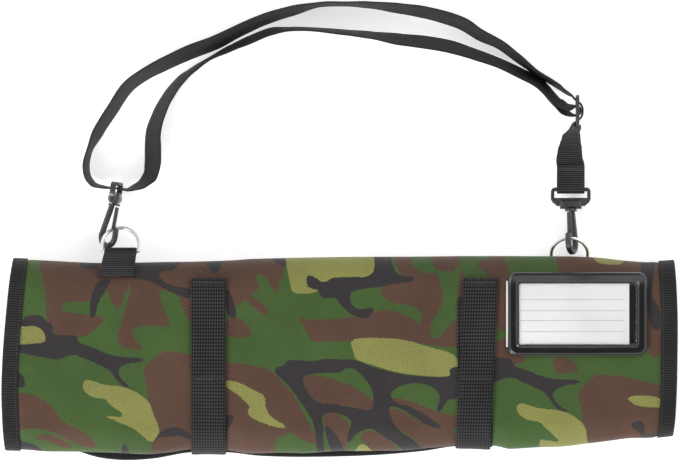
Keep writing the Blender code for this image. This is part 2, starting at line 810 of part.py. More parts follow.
def hook_matrix(origin, axis, turn):
    """Local X is u, Y is v and Z is the thickness; a turn of 0 lays the hook flat."""
    v = Vector(axis).normalized()
    level = v.cross(Vector((0, 0, 1))).normalized()
    up = level.cross(v)
    angle = math.radians(turn)
    u = level * math.cos(angle) + up * math.sin(angle)
    n = u.cross(v)
    frame = Matrix((u, v, n)).transposed().to_4x4()
    return Matrix.Translation(origin) @ frame


def flat_outline(name, loops, thick, edge, collection):
    """A flat outline, filled, with its edges a little rounded, as a closed mesh."""
    data = bpy.data.curves.new(name, "CURVE")
    data.dimensions = "2D"
    data.fill_mode = "BOTH"
    data.extrude = thick / 2 - edge
    if edge > 0:
        data.bevel_depth = edge
        data.bevel_resolution = 0
        data.offset = -edge
    for loop in loops:
        line = data.splines.new("POLY")
        line.points.add(len(loop) - 1)
        for point, (u, v) in zip(line.points, loop):
            point.co = (u, v, 0.0, 1.0)
        line.use_cyclic_u = True
    drawn = bpy.data.objects.new(name + "_drawn", data)
    collection.objects.link(drawn)
    graph = bpy.context.evaluated_depsgraph_get()
    made_mesh = bpy.data.meshes.new_from_object(drawn.evaluated_get(graph))
    bpy.data.objects.remove(drawn)
    mesh = bmesh.new()
    mesh.from_mesh(made_mesh)
    bmesh.ops.remove_doubles(mesh, verts=mesh.verts, dist=1e-6)
    bmesh.ops.recalc_face_normals(mesh, faces=mesh.faces)
    mesh.to_mesh(made_mesh)
    mesh.free()
    made_mesh.name = name
    return made_mesh


def round_bar(name, radius, start, end, sides, cutters, u=0.0):
    """A cylinder along v, made lying in the hook's plane."""
    bpy.ops.mesh.primitive_cylinder_add(radius=radius, depth=end - start, vertices=sides)
    made = bpy.context.object
    made.name = name
    made.data.transform(Matrix.Rotation(math.pi / 2, 4, "X"))
    made.data.transform(Matrix.Translation((u, (start + end) / 2, 0)))
    move_to(made, cutters)
    return made


def offset_outline(line, half):
    """The outline of a bar of one width along a line, with a rounded far end."""
    sides = ([], [])
    for k, p in enumerate(line):
        before, after = line[max(k - 1, 0)], line[min(k + 1, len(line) - 1)]
        run = (Vector(after) - Vector(before)).normalized()
        normal = Vector((-run.y, run.x))
        sides[0].append(tuple(Vector(p) + normal * half))
        sides[1].append(tuple(Vector(p) - normal * half))
    tip = Vector(line[-1]) + (Vector(line[-1]) - Vector(line[-2])).normalized() * half * 0.6
    return sides[0] + [tuple(tip)] + list(reversed(sides[1]))


def frame_outline():
    low = BARREL_LENGTH * 0.30
    corner = FRAME_BAR
    w, top = FRAME_WIDTH / 2, FRAME_LENGTH
    outer = [
        (-w + corner * 1.6, low), (w - corner * 1.6, low), (w - corner * 0.4, low + corner),
        (w, low + corner * 1.8), (w, top - corner), (w - corner * 0.3, top - corner * 0.3),
        (w - corner, top), (-w + corner, top), (-w + corner * 0.3, top - corner * 0.3),
        (-w, top - corner), (-w, low + corner * 1.8), (-w + corner * 0.4, low + corner),
    ]
    s, high = SLOT_WIDTH / 2, top - FRAME_BAR
    slot = [(-s, high - SLOT_LENGTH), (-s, high), (s, high), (s, high - SLOT_LENGTH)]
    return outer, slot


def finish_with(mesh_object, adds, cuts, matrix, parts):
    """Applies unions and cuts in the hook's own plane and then puts the piece in its place."""
    for piece in adds:
        cut(mesh_object, piece, "UNION")
    for piece in cuts:
        cut(mesh_object, piece, "DIFFERENCE")
    bpy.context.view_layer.update()
    graph = bpy.context.evaluated_depsgraph_get()
    done = bpy.data.meshes.new_from_object(mesh_object.evaluated_get(graph))
    mesh_object.modifiers.clear()
    old = mesh_object.data
    mesh_object.data = done
    bpy.data.meshes.remove(old)
    for piece in adds + cuts:
        bpy.data.objects.remove(piece)
    mesh_object.matrix_world = matrix
    return mesh_object


def build_hook_frame(name, matrix, parts, cutters):
    outer, slot = frame_outline()
    mesh = flat_outline(name, [outer, slot], FRAME_THICK, FRAME_THICK * 0.15, cutters)
    made = object_from(name, mesh, "plastic", parts)
    barrel = flat_outline(
        "barrel",
        [[(-BARREL_WIDTH / 2, 0.0), (BARREL_WIDTH / 2, 0.0), (BARREL_WIDTH / 2, BARREL_LENGTH),
          (-BARREL_WIDTH / 2, BARREL_LENGTH)]],
        BARREL_THICK, BARREL_THICK * 0.25, cutters,
    )
    barrel_object = object_from("barrel_cutter", barrel, "plastic", cutters)
    top = FRAME_LENGTH - FRAME_BAR - SLOT_LENGTH
    bore = round_bar("bore", PIN_RADIUS + SWIVEL_CLEAR, -0.002, top + 0.002, 16, cutters)
    recess = round_bar("recess", PIN_HEAD_RADIUS + SWIVEL_CLEAR, top - PIN_HEAD - SWIVEL_CLEAR, top + 0.002,
                       16, cutters)
    return finish_with(made, [barrel_object], [bore, recess], matrix, parts)


def hook_line():
    """The middle of the hook's wire: shoulder, slanting spine, round bend and nose."""
    bottom = HOOK_LENGTH - HOOK_WIRE / 2
    centre = (HOOK_NOSE_U - HOOK_BEND, -(bottom - HOOK_BEND))
    line = [(-COLLAR_RADIUS * 0.55, -COLLAR * 0.6), (-COLLAR_RADIUS * 0.62, -COLLAR * 2)]
    bends = 10
    for step in range(bends + 1):
        angle = math.pi * (1 + step / bends)
        line.append((centre[0] + HOOK_BEND * math.cos(angle), centre[1] + HOOK_BEND * math.sin(angle)))
    line.append((HOOK_NOSE_U, -NOSE_TOP - HOOK_WIRE * 0.3))
    return line


def build_hook(name, matrix, parts, cutters):
    mesh = flat_outline(name, [offset_outline(hook_line(), HOOK_WIRE / 2)], HOOK_THICK, HOOK_THICK * 0.2,
                        cutters)
    made = object_from(name, mesh, "plastic", parts)
    top = FRAME_LENGTH - FRAME_BAR - SLOT_LENGTH
    collar = round_bar("collar", COLLAR_RADIUS, -SWIVEL_CLEAR - COLLAR, -SWIVEL_CLEAR, 16, cutters)
    pin = round_bar("pin", PIN_RADIUS, -SWIVEL_CLEAR - COLLAR / 2, top - PIN_HEAD / 2, 12, cutters)
    head = round_bar("head", PIN_HEAD_RADIUS, top - PIN_HEAD, top, 12, cutters)
    return finish_with(made, [collar, pin, head], [], matrix, parts)


def gate_root():
    return GATE_ROOT_U, -(2 * SWIVEL_CLEAR + COLLAR + GATE_THICK / 2)


def build_gate(name, matrix, parts, cutters):
    """The spring gate, shut: its tip lies just inside the nose."""
    root = gate_root()
    tip_u = HOOK_NOSE_U - HOOK_WIRE / 2 - CLEAR - GATE_THICK / 2
    tip = (tip_u, root[1] - math.sqrt(GATE_LENGTH**2 - (tip_u - root[0]) ** 2))
    middle = tuple((a + b) / 2 for a, b in zip(root, tip))
    outline = offset_outline([root, middle, tip], GATE_THICK / 2)
    mesh = flat_outline(name, [outline], GATE_WIDTH, GATE_WIDTH * 0.15, cutters)
    made = object_from(name, mesh, "plastic", parts)
    hinge = Vector((*root, 0.0))
    made.data.transform(Matrix.Translation(-hinge))
    made.matrix_world = matrix @ Matrix.Translation(hinge)
    return made


def slider_matrix():
    """Local X runs along the slider to the hook, Y is down and Z is the far side from the long runs."""
    s = Vector((*SLIDER_HEADING, 0.0)).normalized()
    up = Vector((0, 0, 1))
    far_side = up.cross(s)
    frame = Matrix((s, -up, far_side)).transposed().to_4x4()
    return Matrix.Translation(strap_place(*SLIDER_AT)) @ frame


def build_slider(parts, cutters):
    half, wide = SLIDER_LENGTH / 2, SLIDER_WIDTH / 2
    corner = SLIDER_BAR
    outer = [
        (-half + corner, -wide), (half - corner, -wide), (half, -wide + corner), (half, wide - corner),
        (half - corner, wide), (-half + corner, wide), (-half, wide - corner), (-half, -wide + corner),
    ]
    loops = [outer]
    for side in (-1, 1):
        near, far = side * SLIDER_MIDDLE_BAR / 2, side * (half - SLIDER_BAR)
        low, high = -SLIDER_SLOT / 2, SLIDER_SLOT / 2
        loops.append([(near, low), (near, high), (far, high), (far, low)])
    mesh = flat_outline("strap_slider", loops, SLIDER_THICK, SLIDER_THICK * 0.2, cutters)
    made = object_from("strap_slider", mesh, "plastic", parts)
    made.matrix_world = slider_matrix()


# Shoulder strap


def strap_place(across, out, z):
    """A place on the strap's ground plan: across between the rings, out beyond the roll's middle."""
    x = RING_LEFT_X + (RING_RIGHT_X - RING_LEFT_X) * across
    return Vector((x, ROLL_DEPTH / 2 + STRAP_REACH * out, z))


def run_points(rows):
    """Places and upper-edge directions of one run of the strap."""
    places = []
    for across, out, lean, lift in rows:
        tip = abs(math.radians(lean))
        height = STRAP_WIDTH / 2 * math.cos(tip) + STRAP_THICK / 2 * math.sin(tip) + CLEAR / 2
        places.append(strap_place(across, out, height + lift))
    return places


def edge_directions(places, rows, before, after):
    """The direction of the webbing's upper edge at each place: upright, tipped to the right of the run."""
    found = []
    line = [before] + places + [after]
    for k, row in enumerate(rows):
        run = line[k + 2] - line[k]
        run.z = 0
        run.normalize()
        left = Vector((-run.y, run.x, 0))
        lean = math.radians(row[2])
        found.append(Vector((0, 0, 1)) * math.cos(lean) - left * math.sin(lean))
    return found


def bar_wrap(matrix):
    """The sewn end over the right frame's outer bar and back under it."""
    bar = FRAME_LENGTH - FRAME_BAR / 2
    reach = FRAME_THICK / 2 + CLEAR + STRAP_THICK / 2
    side = FRAME_BAR / 2 + CLEAR + STRAP_THICK / 2
    sewn, lead = STRAP_THICK + 2 * CLEAR, 0.0004
    flat = [
        (bar + 0.0172, lead + sewn), (bar + 0.0110, lead + sewn), (bar + 0.0050, reach - 0.0001),
        (bar + 0.0010, reach), (bar - side * 0.48, reach), (bar - side * 0.84, reach * 0.84),
        (bar - side, reach * 0.52), (bar - side, -reach * 0.52), (bar - side * 0.84, -reach * 0.84),
        (bar - side * 0.48, -reach), (bar + 0.0010, -reach), (bar + 0.0045, -reach * 0.66),
        (bar + 0.0105, lead), (bar + 0.0172, lead),
    ]
    places = [matrix @ Vector((0, v, n)) for v, n in flat]
    across = (matrix.to_3x3() @ Vector((-1, 0, 0))).normalized()
    return places, [across] * len(places)


def slider_points(rows, matrix):
    places = [matrix @ Vector((s * SLIDER_LENGTH / 2, 0, n * STRAP_THICK)) for s, n in rows]
    return places, [Vector((0, 0, 1))] * len(places)


def smooth_line(places, widths, step):
    """A smooth curve through the places, with a point about every step and the widths turned along."""
    line, turned = [], []
    last = len(places) - 1
    for k in range(last):
        p0, p1, p2, p3 = (places[max(k - 1, 0)], places[k], places[k + 1], places[min(k + 2, last)])
        long = (p2 - p1).length
        d0 = max((p1 - p0).length, 1e-6) ** 0.5
        d1 = max(long, 1e-6) ** 0.5
        d2 = max((p3 - p2).length, 1e-6) ** 0.5
        m1 = (p2 - p1) if k == 0 else d1 * ((p1 - p0) / d0 - (p2 - p0) / (d0 + d1)) + (p2 - p1)
        m2 = (p2 - p1) if k == last - 1 else d1 * ((p3 - p2) / d2 - (p3 - p1) / (d1 + d2)) + (p2 - p1)
        pieces = max(1, math.ceil(long / step))
        for i in range(pieces):
            t = i / pieces
            line.append(
                p1 * (2 * t**3 - 3 * t**2 + 1)
                + m1 * (t**3 - 2 * t**2 + t)
                + p2 * (3 * t**2 - 2 * t**3)
                + m2 * (t**3 - t**2)
            )
            turned.append(widths[k].lerp(widths[k + 1], t * t * (3 - 2 * t)).normalized())
    line.append(places[-1])
    turned.append(widths[-1])
    return line, turned


def build_shoulder_strap(right_frame, left_frame, parts):
    matrix = slider_matrix()
    sewn, sewn_widths = bar_wrap(right_frame)
    main, main_widths = slider_points(SLIDER_MAIN, matrix)
    loop, loop_widths = slider_points(SLIDER_LOOP, matrix)
    slot = [strap_place(*LEFT_SLOT_AT)]
    runs = [run_points(rows) for rows in (TWIST_RUN, OUTER_RUN, INNER_RUN)]
    places = sewn + runs[0] + main + runs[1] + slot + runs[2] + loop
    widths = (
        sewn_widths
        + edge_directions(runs[0], TWIST_RUN, sewn[-1], main[0])
        + main_widths
        + edge_directions(runs[1], OUTER_RUN, main[-1], slot[0])
        + [Vector((0, 0, 1))]
        + edge_directions(runs[2], INNER_RUN, slot[0], loop[0])
        + loop_widths
    )
    line, turned = smooth_line(places, widths, 0.0120)
    ribbon("shoulder_strap", line, turned, STRAP_WIDTH, STRAP_THICK, "webbing", parts)


def slot_origin(slot_place, axis):
    """Where the swivel's foot lies when the strap pulls on the frame's outer bar at a place."""
    held = FRAME_LENGTH - FRAME_BAR - STRAP_THICK / 2 - 4 * CLEAR
    return slot_place - Vector(axis).normalized() * held


def main():
    for old in list(bpy.data.objects):
        bpy.data.objects.remove(old)
    parts = new_collection("chef_knife_roll")
    cutters = new_collection("cutters")

    build_roll_panel(parts)
    build_end_binding("end_binding_left", -1, parts)
    build_end_binding("end_binding_right", 1, parts)
    build_flap_binding(parts)

    build_loop_strip("loop_strip_left", CLOSURE_LEFT_X, 0.045, parts)
    build_loop_strip("loop_strip_right", CLOSURE_RIGHT_X - 0.0045, 0.040, parts)
    build_closure_strap("closure_strap_left", lambda y: CLOSURE_LEFT_X, parts)
    build_closure_strap("closure_strap_right", closure_right_x, parts)

    over = CLEAR + TAB_THICK
    seam = [top_point(RING_LEFT_X, TAB_TOP_Y + d, over + lift) for d, lift in ((0.0, 0.0002), (0.003, 0.0008))]
    tab_line = [(p.y, p.z) for p in seam] + [
        (0.0630, 0.0356), (0.0668, 0.0331), (0.0697, 0.0299), (0.0716, 0.0268), (0.0727, 0.0243),
    ]
    build_ring_tab("ring_tab_left", RING_LEFT_X, RING_LEFT_BAR, tab_line, parts, cutters)
    under = [(TAB_UNDER_Y, TAB_THICK), (0.0600, TAB_THICK), (0.0638, TAB_THICK + 0.0003)]
    build_ring_tab("ring_tab_right", RING_RIGHT_X, RING_RIGHT_BAR, under, parts, cutters)
    build_d_ring("d_ring_left", RING_LEFT_X, RING_LEFT_BAR, RING_LEFT_TILT, parts)
    build_d_ring("d_ring_right", RING_RIGHT_X, RING_RIGHT_BAR, RING_RIGHT_TILT, parts)

    build_card_holder(parts, cutters)

    left_foot = slot_origin(strap_place(*LEFT_SLOT_AT), LEFT_HOOK_AXIS)
    right_foot = strap_place(*RIGHT_SWIVEL_AT)
    frames = {}
    for side, foot, axis, frame_turn, hook_turn in (
        ("left", left_foot, LEFT_HOOK_AXIS, LEFT_FRAME_TURN, LEFT_HOOK_TURN),
        ("right", right_foot, RIGHT_HOOK_AXIS, RIGHT_FRAME_TURN, RIGHT_HOOK_TURN),
    ):
        frames[side] = hook_matrix(foot, axis, frame_turn)
        hook = hook_matrix(foot, axis, hook_turn)
        build_hook_frame("hook_frame_" + side, frames[side], parts, cutters)
        build_hook("hook_" + side, hook, parts, cutters)
        build_gate("hook_gate_" + side, hook, parts, cutters)
        root = hook @ Vector((*gate_root(), 0))
        print(side, "swivel", tuple(foot), "axis", tuple(hook.to_3x3() @ Vector((0, 1, 0))))
        print(side, "gate", tuple(root), "axis", tuple(-(hook.to_3x3() @ Vector((0, 0, 1)))))

    build_slider(parts, cutters)
    build_shoulder_strap(frames["right"], frames["left"], parts)


main()
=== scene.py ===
# %% [markdown]
# # A chef's knife roll in camouflage cloth
# The real thing is a sheet of padded cloth, wound into a flat roll and held by two webbing straps.
# A shoulder strap clips to two rings at its back. It lies flat and is seen from straight above.
# Everything here is in metres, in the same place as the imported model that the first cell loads.

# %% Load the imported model
import json
import math

import bpy
import numpy as np
from mathutils import Matrix, Vector

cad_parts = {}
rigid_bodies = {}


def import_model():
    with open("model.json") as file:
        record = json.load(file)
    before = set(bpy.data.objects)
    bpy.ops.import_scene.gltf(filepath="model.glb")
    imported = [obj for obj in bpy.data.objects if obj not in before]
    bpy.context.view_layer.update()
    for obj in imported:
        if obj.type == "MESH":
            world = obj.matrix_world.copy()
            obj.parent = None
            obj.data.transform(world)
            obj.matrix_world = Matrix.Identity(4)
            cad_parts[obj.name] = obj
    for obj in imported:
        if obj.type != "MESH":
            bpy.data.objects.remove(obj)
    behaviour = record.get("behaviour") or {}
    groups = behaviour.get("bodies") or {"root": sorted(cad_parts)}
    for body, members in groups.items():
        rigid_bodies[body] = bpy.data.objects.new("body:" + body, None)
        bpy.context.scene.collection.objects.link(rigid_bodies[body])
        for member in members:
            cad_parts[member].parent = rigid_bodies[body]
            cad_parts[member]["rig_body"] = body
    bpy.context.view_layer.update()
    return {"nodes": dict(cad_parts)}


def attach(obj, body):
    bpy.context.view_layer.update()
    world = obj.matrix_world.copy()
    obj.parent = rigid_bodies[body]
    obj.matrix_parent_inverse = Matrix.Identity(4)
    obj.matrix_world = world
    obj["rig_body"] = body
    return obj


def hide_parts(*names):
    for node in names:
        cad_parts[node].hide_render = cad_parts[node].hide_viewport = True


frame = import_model()
print("packed nodes:", len(frame["nodes"]))

# %% [markdown]
# ## Camera
# The picture was taken from straight above, so the roll shows no end face. A long lens far away keeps
# the two ends as square as they are there. The lens is worked out from the width that one pixel covers.

# %% Camera
PIXEL = 0.00072
PICTURE_WIDTH = 679
AIM = Vector((0.0, 0.0886, 0.0))
CAMERA_HEIGHT = 9.0
SHARP_LEVEL = 0.030

bpy.ops.object.camera_add(location=(AIM.x, AIM.y, CAMERA_HEIGHT))
camera = bpy.context.object
camera.name = "camera_above"
camera.data.lens = camera.data.sensor_width * (CAMERA_HEIGHT - SHARP_LEVEL) / (PIXEL * PICTURE_WIDTH)
camera.data.clip_end = 60
bpy.context.scene.camera = camera
print("lens, mm:", round(camera.data.lens))

# %% [markdown]
# ## Floor and light
# A white sheet and a big soft lamp from the front left give what the photograph has: a lit front
# fold, a back edge that falls off, and hardly any shadow on the ground. A weaker lamp stands at the
# back right. The floor lies a hair under the object, so that the two never share a surface.

# %% Floor and light
def lamp(name, place, aim, size, power):
    """A round soft lamp that points at a place."""
    bpy.ops.object.light_add(type="AREA", location=place)
    made = bpy.context.object
    made.name = name
    made.data.shape = "DISK"
    made.data.size = size
    made.data.energy = power
    made.rotation_euler = (Vector(aim) - Vector(place)).to_track_quat("-Z", "Y").to_euler()


FLOOR_SIZE = 60
FLOOR_LEVEL = -0.0003
bpy.ops.mesh.primitive_plane_add(size=FLOOR_SIZE, location=(0, 0, FLOOR_LEVEL))
floor = bpy.context.object
floor.name = "floor"
lamp("lamp_front_left", (-1.6, -1.9, 1.7), (0, 0, 0), 1.5, 66)
lamp("lamp_back_right", (1.8, 1.6, 2.0), (0, 0.05, 0), 2.0, 22)
bpy.context.scene.view_settings.view_transform = "Standard"

# %% [markdown]
# ## Small helpers for materials
# Each finish is a few nodes on one Principled shader. This helper adds a node and fills its sockets,
# with a plain value or with another node's output, so that a finish reads as a short list.

# %% Node helpers
def fill(tree, socket, value):
    """Links a socket to another node's output, or gives it a plain value."""
    if isinstance(value, bpy.types.NodeSocket):
        tree.links.new(value, socket)
    else:
        socket.default_value = value


def add_node(tree, kind, inputs=None, output=0, **settings):
    """One node with its settings and inputs, given back as one of its outputs."""
    made = tree.nodes.new(kind)
    for key, value in settings.items():
        setattr(made, key, value)
    for key, value in (inputs or {}).items():
        fill(tree, made.inputs[key], value)
    return made.outputs[output]


def math_node(tree, operation, *values, clamp=False):
    return add_node(tree, "ShaderNodeMath", dict(enumerate(values)), operation=operation, use_clamp=clamp)


def mix_colours(tree, factor, first, second, blend="MIX"):
    made = tree.nodes.new("ShaderNodeMix")
    made.data_type = "RGBA"
    made.blend_type = blend
    for socket, value in ((made.inputs[0], factor), (made.inputs[6], first), (made.inputs[7], second)):
        fill(tree, socket, value)
    return made.outputs[2]


def shaded(tree, colour, shade):
    """A colour made darker or lighter by one grey value."""
    grey = add_node(tree, "ShaderNodeCombineColor", {0: shade, 1: shade, 2: shade})
    return mix_colours(tree, 1.0, colour, grey, "MULTIPLY")


def new_finish(name, colour, roughness, metallic=0.0, specular=0.5, **more):
    """A material with its constants on the shader's own sockets."""
    made = bpy.data.materials.new(name)
    made.use_nodes = True
    shader = made.node_tree.nodes["Principled BSDF"]
    shader.inputs["Base Color"].default_value = (*colour, 1)
    shader.inputs["Roughness"].default_value = roughness
    shader.inputs["Metallic"].default_value = metallic
    shader.inputs["Specular IOR Level"].default_value = specular
    for label, value in more.items():
        shader.inputs[label.replace("_", " ")].default_value = value
    return made, made.node_tree, shader


def new_group(name, inputs, outputs):
    """An empty node group with named sockets."""
    tree = bpy.data.node_groups.new(name, "ShaderNodeTree")
    for label, kind in inputs:
        tree.interface.new_socket(label, in_out="INPUT", socket_type=kind)
    for label, kind in outputs:
        tree.interface.new_socket(label, in_out="OUTPUT", socket_type=kind)
    start = tree.nodes.new("NodeGroupInput")
    end = tree.nodes.new("NodeGroupOutput")
    return tree, start.outputs, end.inputs


def use_group(tree, group, **inputs):
    made = tree.nodes.new("ShaderNodeGroup")
    made.node_tree = group
    for key, value in inputs.items():
        fill(tree, made.inputs[key.replace("_", " ")], value)
    return made.outputs


def bump(tree, height, distance, strength=1.0, normal=None):
    inputs = {"Height": height, "Distance": distance, "Strength": strength}
    if normal is not None:
        inputs["Normal"] = normal
    return add_node(tree, "ShaderNodeBump", inputs)


print("node helpers ready")

# %% [markdown]
# ## Sky
# The sky is bright all round and dark straight above, where the camera would stand, so that black
# pieces stay black. Its strength follows the upward part of the direction that is looked in.

# %% Sky
ZENITH_FROM, ZENITH_FULL = 0.80, 0.97
SKY_STRENGTH, ZENITH_STRENGTH = 0.95, 0.10
world = bpy.data.worlds.new("studio")
world.use_nodes = True
bpy.context.scene.world = world
sky = world.node_tree
background = sky.nodes["Background"]
background.inputs["Color"].default_value = (0.98, 0.99, 1.0, 1)
up_part = sky.nodes.new("ShaderNodeSeparateXYZ")
sky.links.new(add_node(sky, "ShaderNodeTexCoord"), up_part.inputs[0])
limits = {"Value": up_part.outputs[2], 1: ZENITH_FROM, 2: ZENITH_FULL, 3: SKY_STRENGTH, 4: ZENITH_STRENGTH}
ceiling = add_node(sky, "ShaderNodeMapRange", limits, interpolation_type="SMOOTHSTEP")
sky.links.new(ceiling, background.inputs["Strength"])
print("sky nodes:", len(sky.nodes))

# %% [markdown]
# ## Threads
# Cloth, tape and webbing all show their threads as small bumps in rows. One group turns a place on the
# surface, in metres across and along, into four patterns: lines, ribs, a check and rows of dots.
# A second group gives the worn, dusty variation that keeps a dark surface from looking flat.

# %% Groups: threads and wear
threads, source, result = new_group(
    "threads",
    [("Place", "NodeSocketVector"), ("Across", "NodeSocketFloat"), ("Along", "NodeSocketFloat")],
    [("Lines", "NodeSocketFloat"), ("Ribs", "NodeSocketFloat"), ("Grid", "NodeSocketFloat"),
     ("Dots", "NodeSocketFloat")],
)
split = threads.nodes.new("ShaderNodeSeparateXYZ")
threads.links.new(source["Place"], split.inputs[0])
waves, halves = [], []
for axis, period in ((0, "Across"), (1, "Along")):
    turns = math_node(threads, "DIVIDE", split.outputs[axis], source[period])
    wave = math_node(threads, "SINE", math_node(threads, "MULTIPLY", turns, 2 * math.pi))
    waves.append(wave)
    half = math_node(threads, "MULTIPLY_ADD", wave, 0.5, 0.5)
    halves.append(half)
    threads.links.new(half, result["Lines" if axis == 0 else "Ribs"])
both = math_node(threads, "MULTIPLY_ADD", math_node(threads, "MULTIPLY", *waves), 0.5, 0.5)
threads.links.new(both, result["Grid"])
threads.links.new(math_node(threads, "MULTIPLY", *halves), result["Dots"])

wear, source, result = new_group(
    "wear",
    [("Patch Size", "NodeSocketFloat"), ("Low", "NodeSocketFloat"), ("High", "NodeSocketFloat")],
    [("Shade", "NodeSocketFloat"), ("Fleck", "NodeSocketFloat")],
)
place = add_node(wear, "ShaderNodeTexCoord", output=3)
scale = math_node(wear, "DIVIDE", 1.0, source["Patch Size"])
cloud = add_node(wear, "ShaderNodeTexNoise", {"Vector": place, "Scale": scale, "Detail": 3.0})
limits = {"Value": cloud, 1: 0.3, 2: 0.7, 3: source["Low"], 4: source["High"]}
wear.links.new(add_node(wear, "ShaderNodeMapRange", limits), result["Shade"])
fleck = add_node(wear, "ShaderNodeTexNoise", {"Vector": place, "Scale": 1400.0, "Detail": 1.0})
wear.links.new(fleck, result["Fleck"])
print("groups:", [g.name for g in bpy.data.node_groups])

# %% [markdown]
# ## Black finishes
# The webbing, the ribbed tape and the closure straps are the same dull black yarn woven in three ways:
# close ribs, wide cross ribs, and a small square grid. Only the periods, depths and shades differ.
# The hard and shiny pieces share a second recipe, whose roughness changes from place to place.

# %% Black finishes
def woven_black(name, pattern, across, along, depth, light, dark=0.003):
    """Black yarn in a thread pattern: painted shade between the threads, a painted glint on them."""
    made, tree, shader = new_finish(name, (dark, dark, dark), 0.58, specular=0.2,
                                    Sheen_Weight=0.03, Sheen_Roughness=0.5)
    place = add_node(tree, "ShaderNodeAttribute", output=1, attribute_name="woven")
    rows = use_group(tree, threads, Place=place, Across=across, Along=along)[pattern]
    worn = use_group(tree, wear, Patch_Size=0.03, Low=0.8, High=1.25)
    # The threads' lighter tone is a painted glint, and the dark between them is painted shade.
    lit_thread_colour = (light * 1.02, light * 0.98, light * 1.02, 1)
    colour = mix_colours(tree, rows, (dark, dark * 0.96, dark, 1), lit_thread_colour)
    lowered = math_node(tree, "SUBTRACT", worn["Shade"], 0.25)
    shade = math_node(tree, "MULTIPLY_ADD", worn["Fleck"], 0.5, lowered)
    tree.links.new(shaded(tree, colour, shade), shader.inputs["Base Color"])
    fine = bump(tree, worn["Fleck"], 0.00008)
    tree.links.new(bump(tree, rows, depth, 1.0, fine), shader.inputs["Normal"])
    return made


def uneven(name, colour, patch, low, high, grain, **more):
    """A smooth finish whose roughness changes in patches, with a fine grain."""
    made, tree, shader = new_finish(name, colour, low, **more)
    worn = use_group(tree, wear, Patch_Size=patch, Low=low, High=high)
    tree.links.new(worn["Shade"], shader.inputs["Roughness"])
    tree.links.new(bump(tree, worn["Fleck"], grain), shader.inputs["Normal"])
    return made


webbing_finish = woven_black("black_webbing_ribbed", "Ribs", 0.0019, 0.0016, 0.00030, light=0.042)
tape_finish = woven_black("black_tape_ribbed", "Ribs", 0.002, 0.0018, 0.00034, light=0.022)
closure_finish = woven_black("black_webbing_grid", "Dots", 0.0019, 0.0025, 0.00035, light=0.052)
thread_finish = woven_black("black_thread", "Ribs", 0.001, 0.0006, 0.00005, light=0.070, dark=0.035)

hardware_finish = uneven("black_hardware_satin", (0.030, 0.030, 0.031), 0.008, 0.27, 0.45, 0.00004,
                         specular=0.7)
ring_finish = uneven("ring_nickel", (0.80, 0.78, 0.74), 0.006, 0.16, 0.34, 0.00002, metallic=1.0)
vinyl_finish = uneven("black_vinyl_glossy", (0.008, 0.0075, 0.008), 0.02, 0.12, 0.26, 0.00005,
                      Coat_Weight=1.0, Coat_Roughness=0.10)
film_finish, _, _ = new_finish("clear_film_soft", (0.99, 0.99, 0.99), 0.04,
                               Transmission_Weight=1.0, IOR=1.42, Alpha=0.4)
floor_finish, _, _ = new_finish("floor_white", (0.94, 0.94, 0.94), 0.9, specular=0.1,
                                Emission_Color=(1, 1, 1, 1), Emission_Strength=0.45)
floor.data.materials.append(floor_finish)
print("finishes:", len(bpy.data.materials))

# %% [markdown]
# ## The shape of the wound cloth
# Cut across, the cloth is a flat spiral. A turn of 0 is the middle of the underside, 0.25 the back fold,
# 0.5 the middle of the top and 0.75 the front fold. The tables hold the two outlines and the free edge
# as shares of the half depth, at shares of the half length. All pieces that lie on the cloth ask the
# same functions where its face is, so nothing floats or sinks in.

# %% Sizes of the roll
ROLL_LENGTH = 0.4868
ROLL_DEPTH = 0.142
ROLL_HEIGHT = 0.038
CLOTH = 0.0024
SEAM_CLOTH = 0.0014
WRAP_PITCH = 0.0062
WRAPS = 2.6
FOLD_DEPTH = 0.021
CROWN = 0.0025
FLAT_SHARE = 0.45
HEM_TURN = -0.20
HEM_RUN = 0.0150
CLEAR = 0.0003
TAPE = 0.0008
TAPE_WIDTH = 0.0118
TAPE_HALF = SEAM_CLOTH / 2 + CLEAR + TAPE
CLOSURE_WIDTH = 0.025
CLOSURE_THICK = 0.0015
CLOSURE_UNDER = 0.032
CLOSURE_LEFT_X = -0.0943
CLOSURE_RIGHT_X = 0.0990
CLOSURE_RIGHT_LEAN = 0.042
CLOSURE_TOP_Y = 0.0553
LOOP_STRIP_THICK = 0.001
TAB_WIDTH = 0.0232
TAB_THICK = 0.0013
TAB_TOP_Y = 0.0558
TAB_UNDER_Y = 0.0515
RING_LEFT_X = -0.1577
RING_RIGHT_X = 0.1660

OUTLINE = (
    # along, back, front
    (-1.00, 0.975, -0.968), (-0.87, 0.950, -0.980), (-0.73, 0.930, -0.989), (-0.50, 0.940, -1.000),
    (-0.447, 0.942, -0.988), (-0.328, 0.955, -0.988), (-0.26, 0.970, -1.002), (0.00, 0.990, -0.982),
    (0.20, 0.993, -0.966), (0.32, 0.997, -0.957), (0.36, 0.999, -0.934), (0.47, 0.999, -0.930),
    (0.51, 0.999, -0.950), (0.74, 0.990, -0.908), (0.86, 0.950, -0.858), (0.92, 0.938, -0.848),
    (1.00, 0.954, -0.822),
)
FREE_EDGE = (
    # along, reach
    (-1.00, -0.900), (-0.82, -0.955), (-0.72, -1.050), (-0.64, -1.078), (-0.55, -1.060),
    (-0.447, -1.000), (-0.328, -1.000), (-0.24, -1.034), (-0.10, -1.046), (0.10, -1.028),
    (0.25, -0.985), (0.345, -0.936), (0.475, -0.930), (0.60, -0.885), (1.00, -0.780),
)
END_LEAN = (
    # across, left, right
    (-1.00, 0.0048, 0.0095), (-0.72, 0.0016, 0.0041), (-0.36, 0.0000, 0.0012), (0.00, 0.0020, 0.0003),
    (0.35, 0.0059, 0.0000), (0.70, 0.0110, 0.0018), (1.00, 0.0170, 0.0046),
)
print("roll, mm:", ROLL_LENGTH * 1000, ROLL_DEPTH * 1000, ROLL_HEIGHT * 1000)

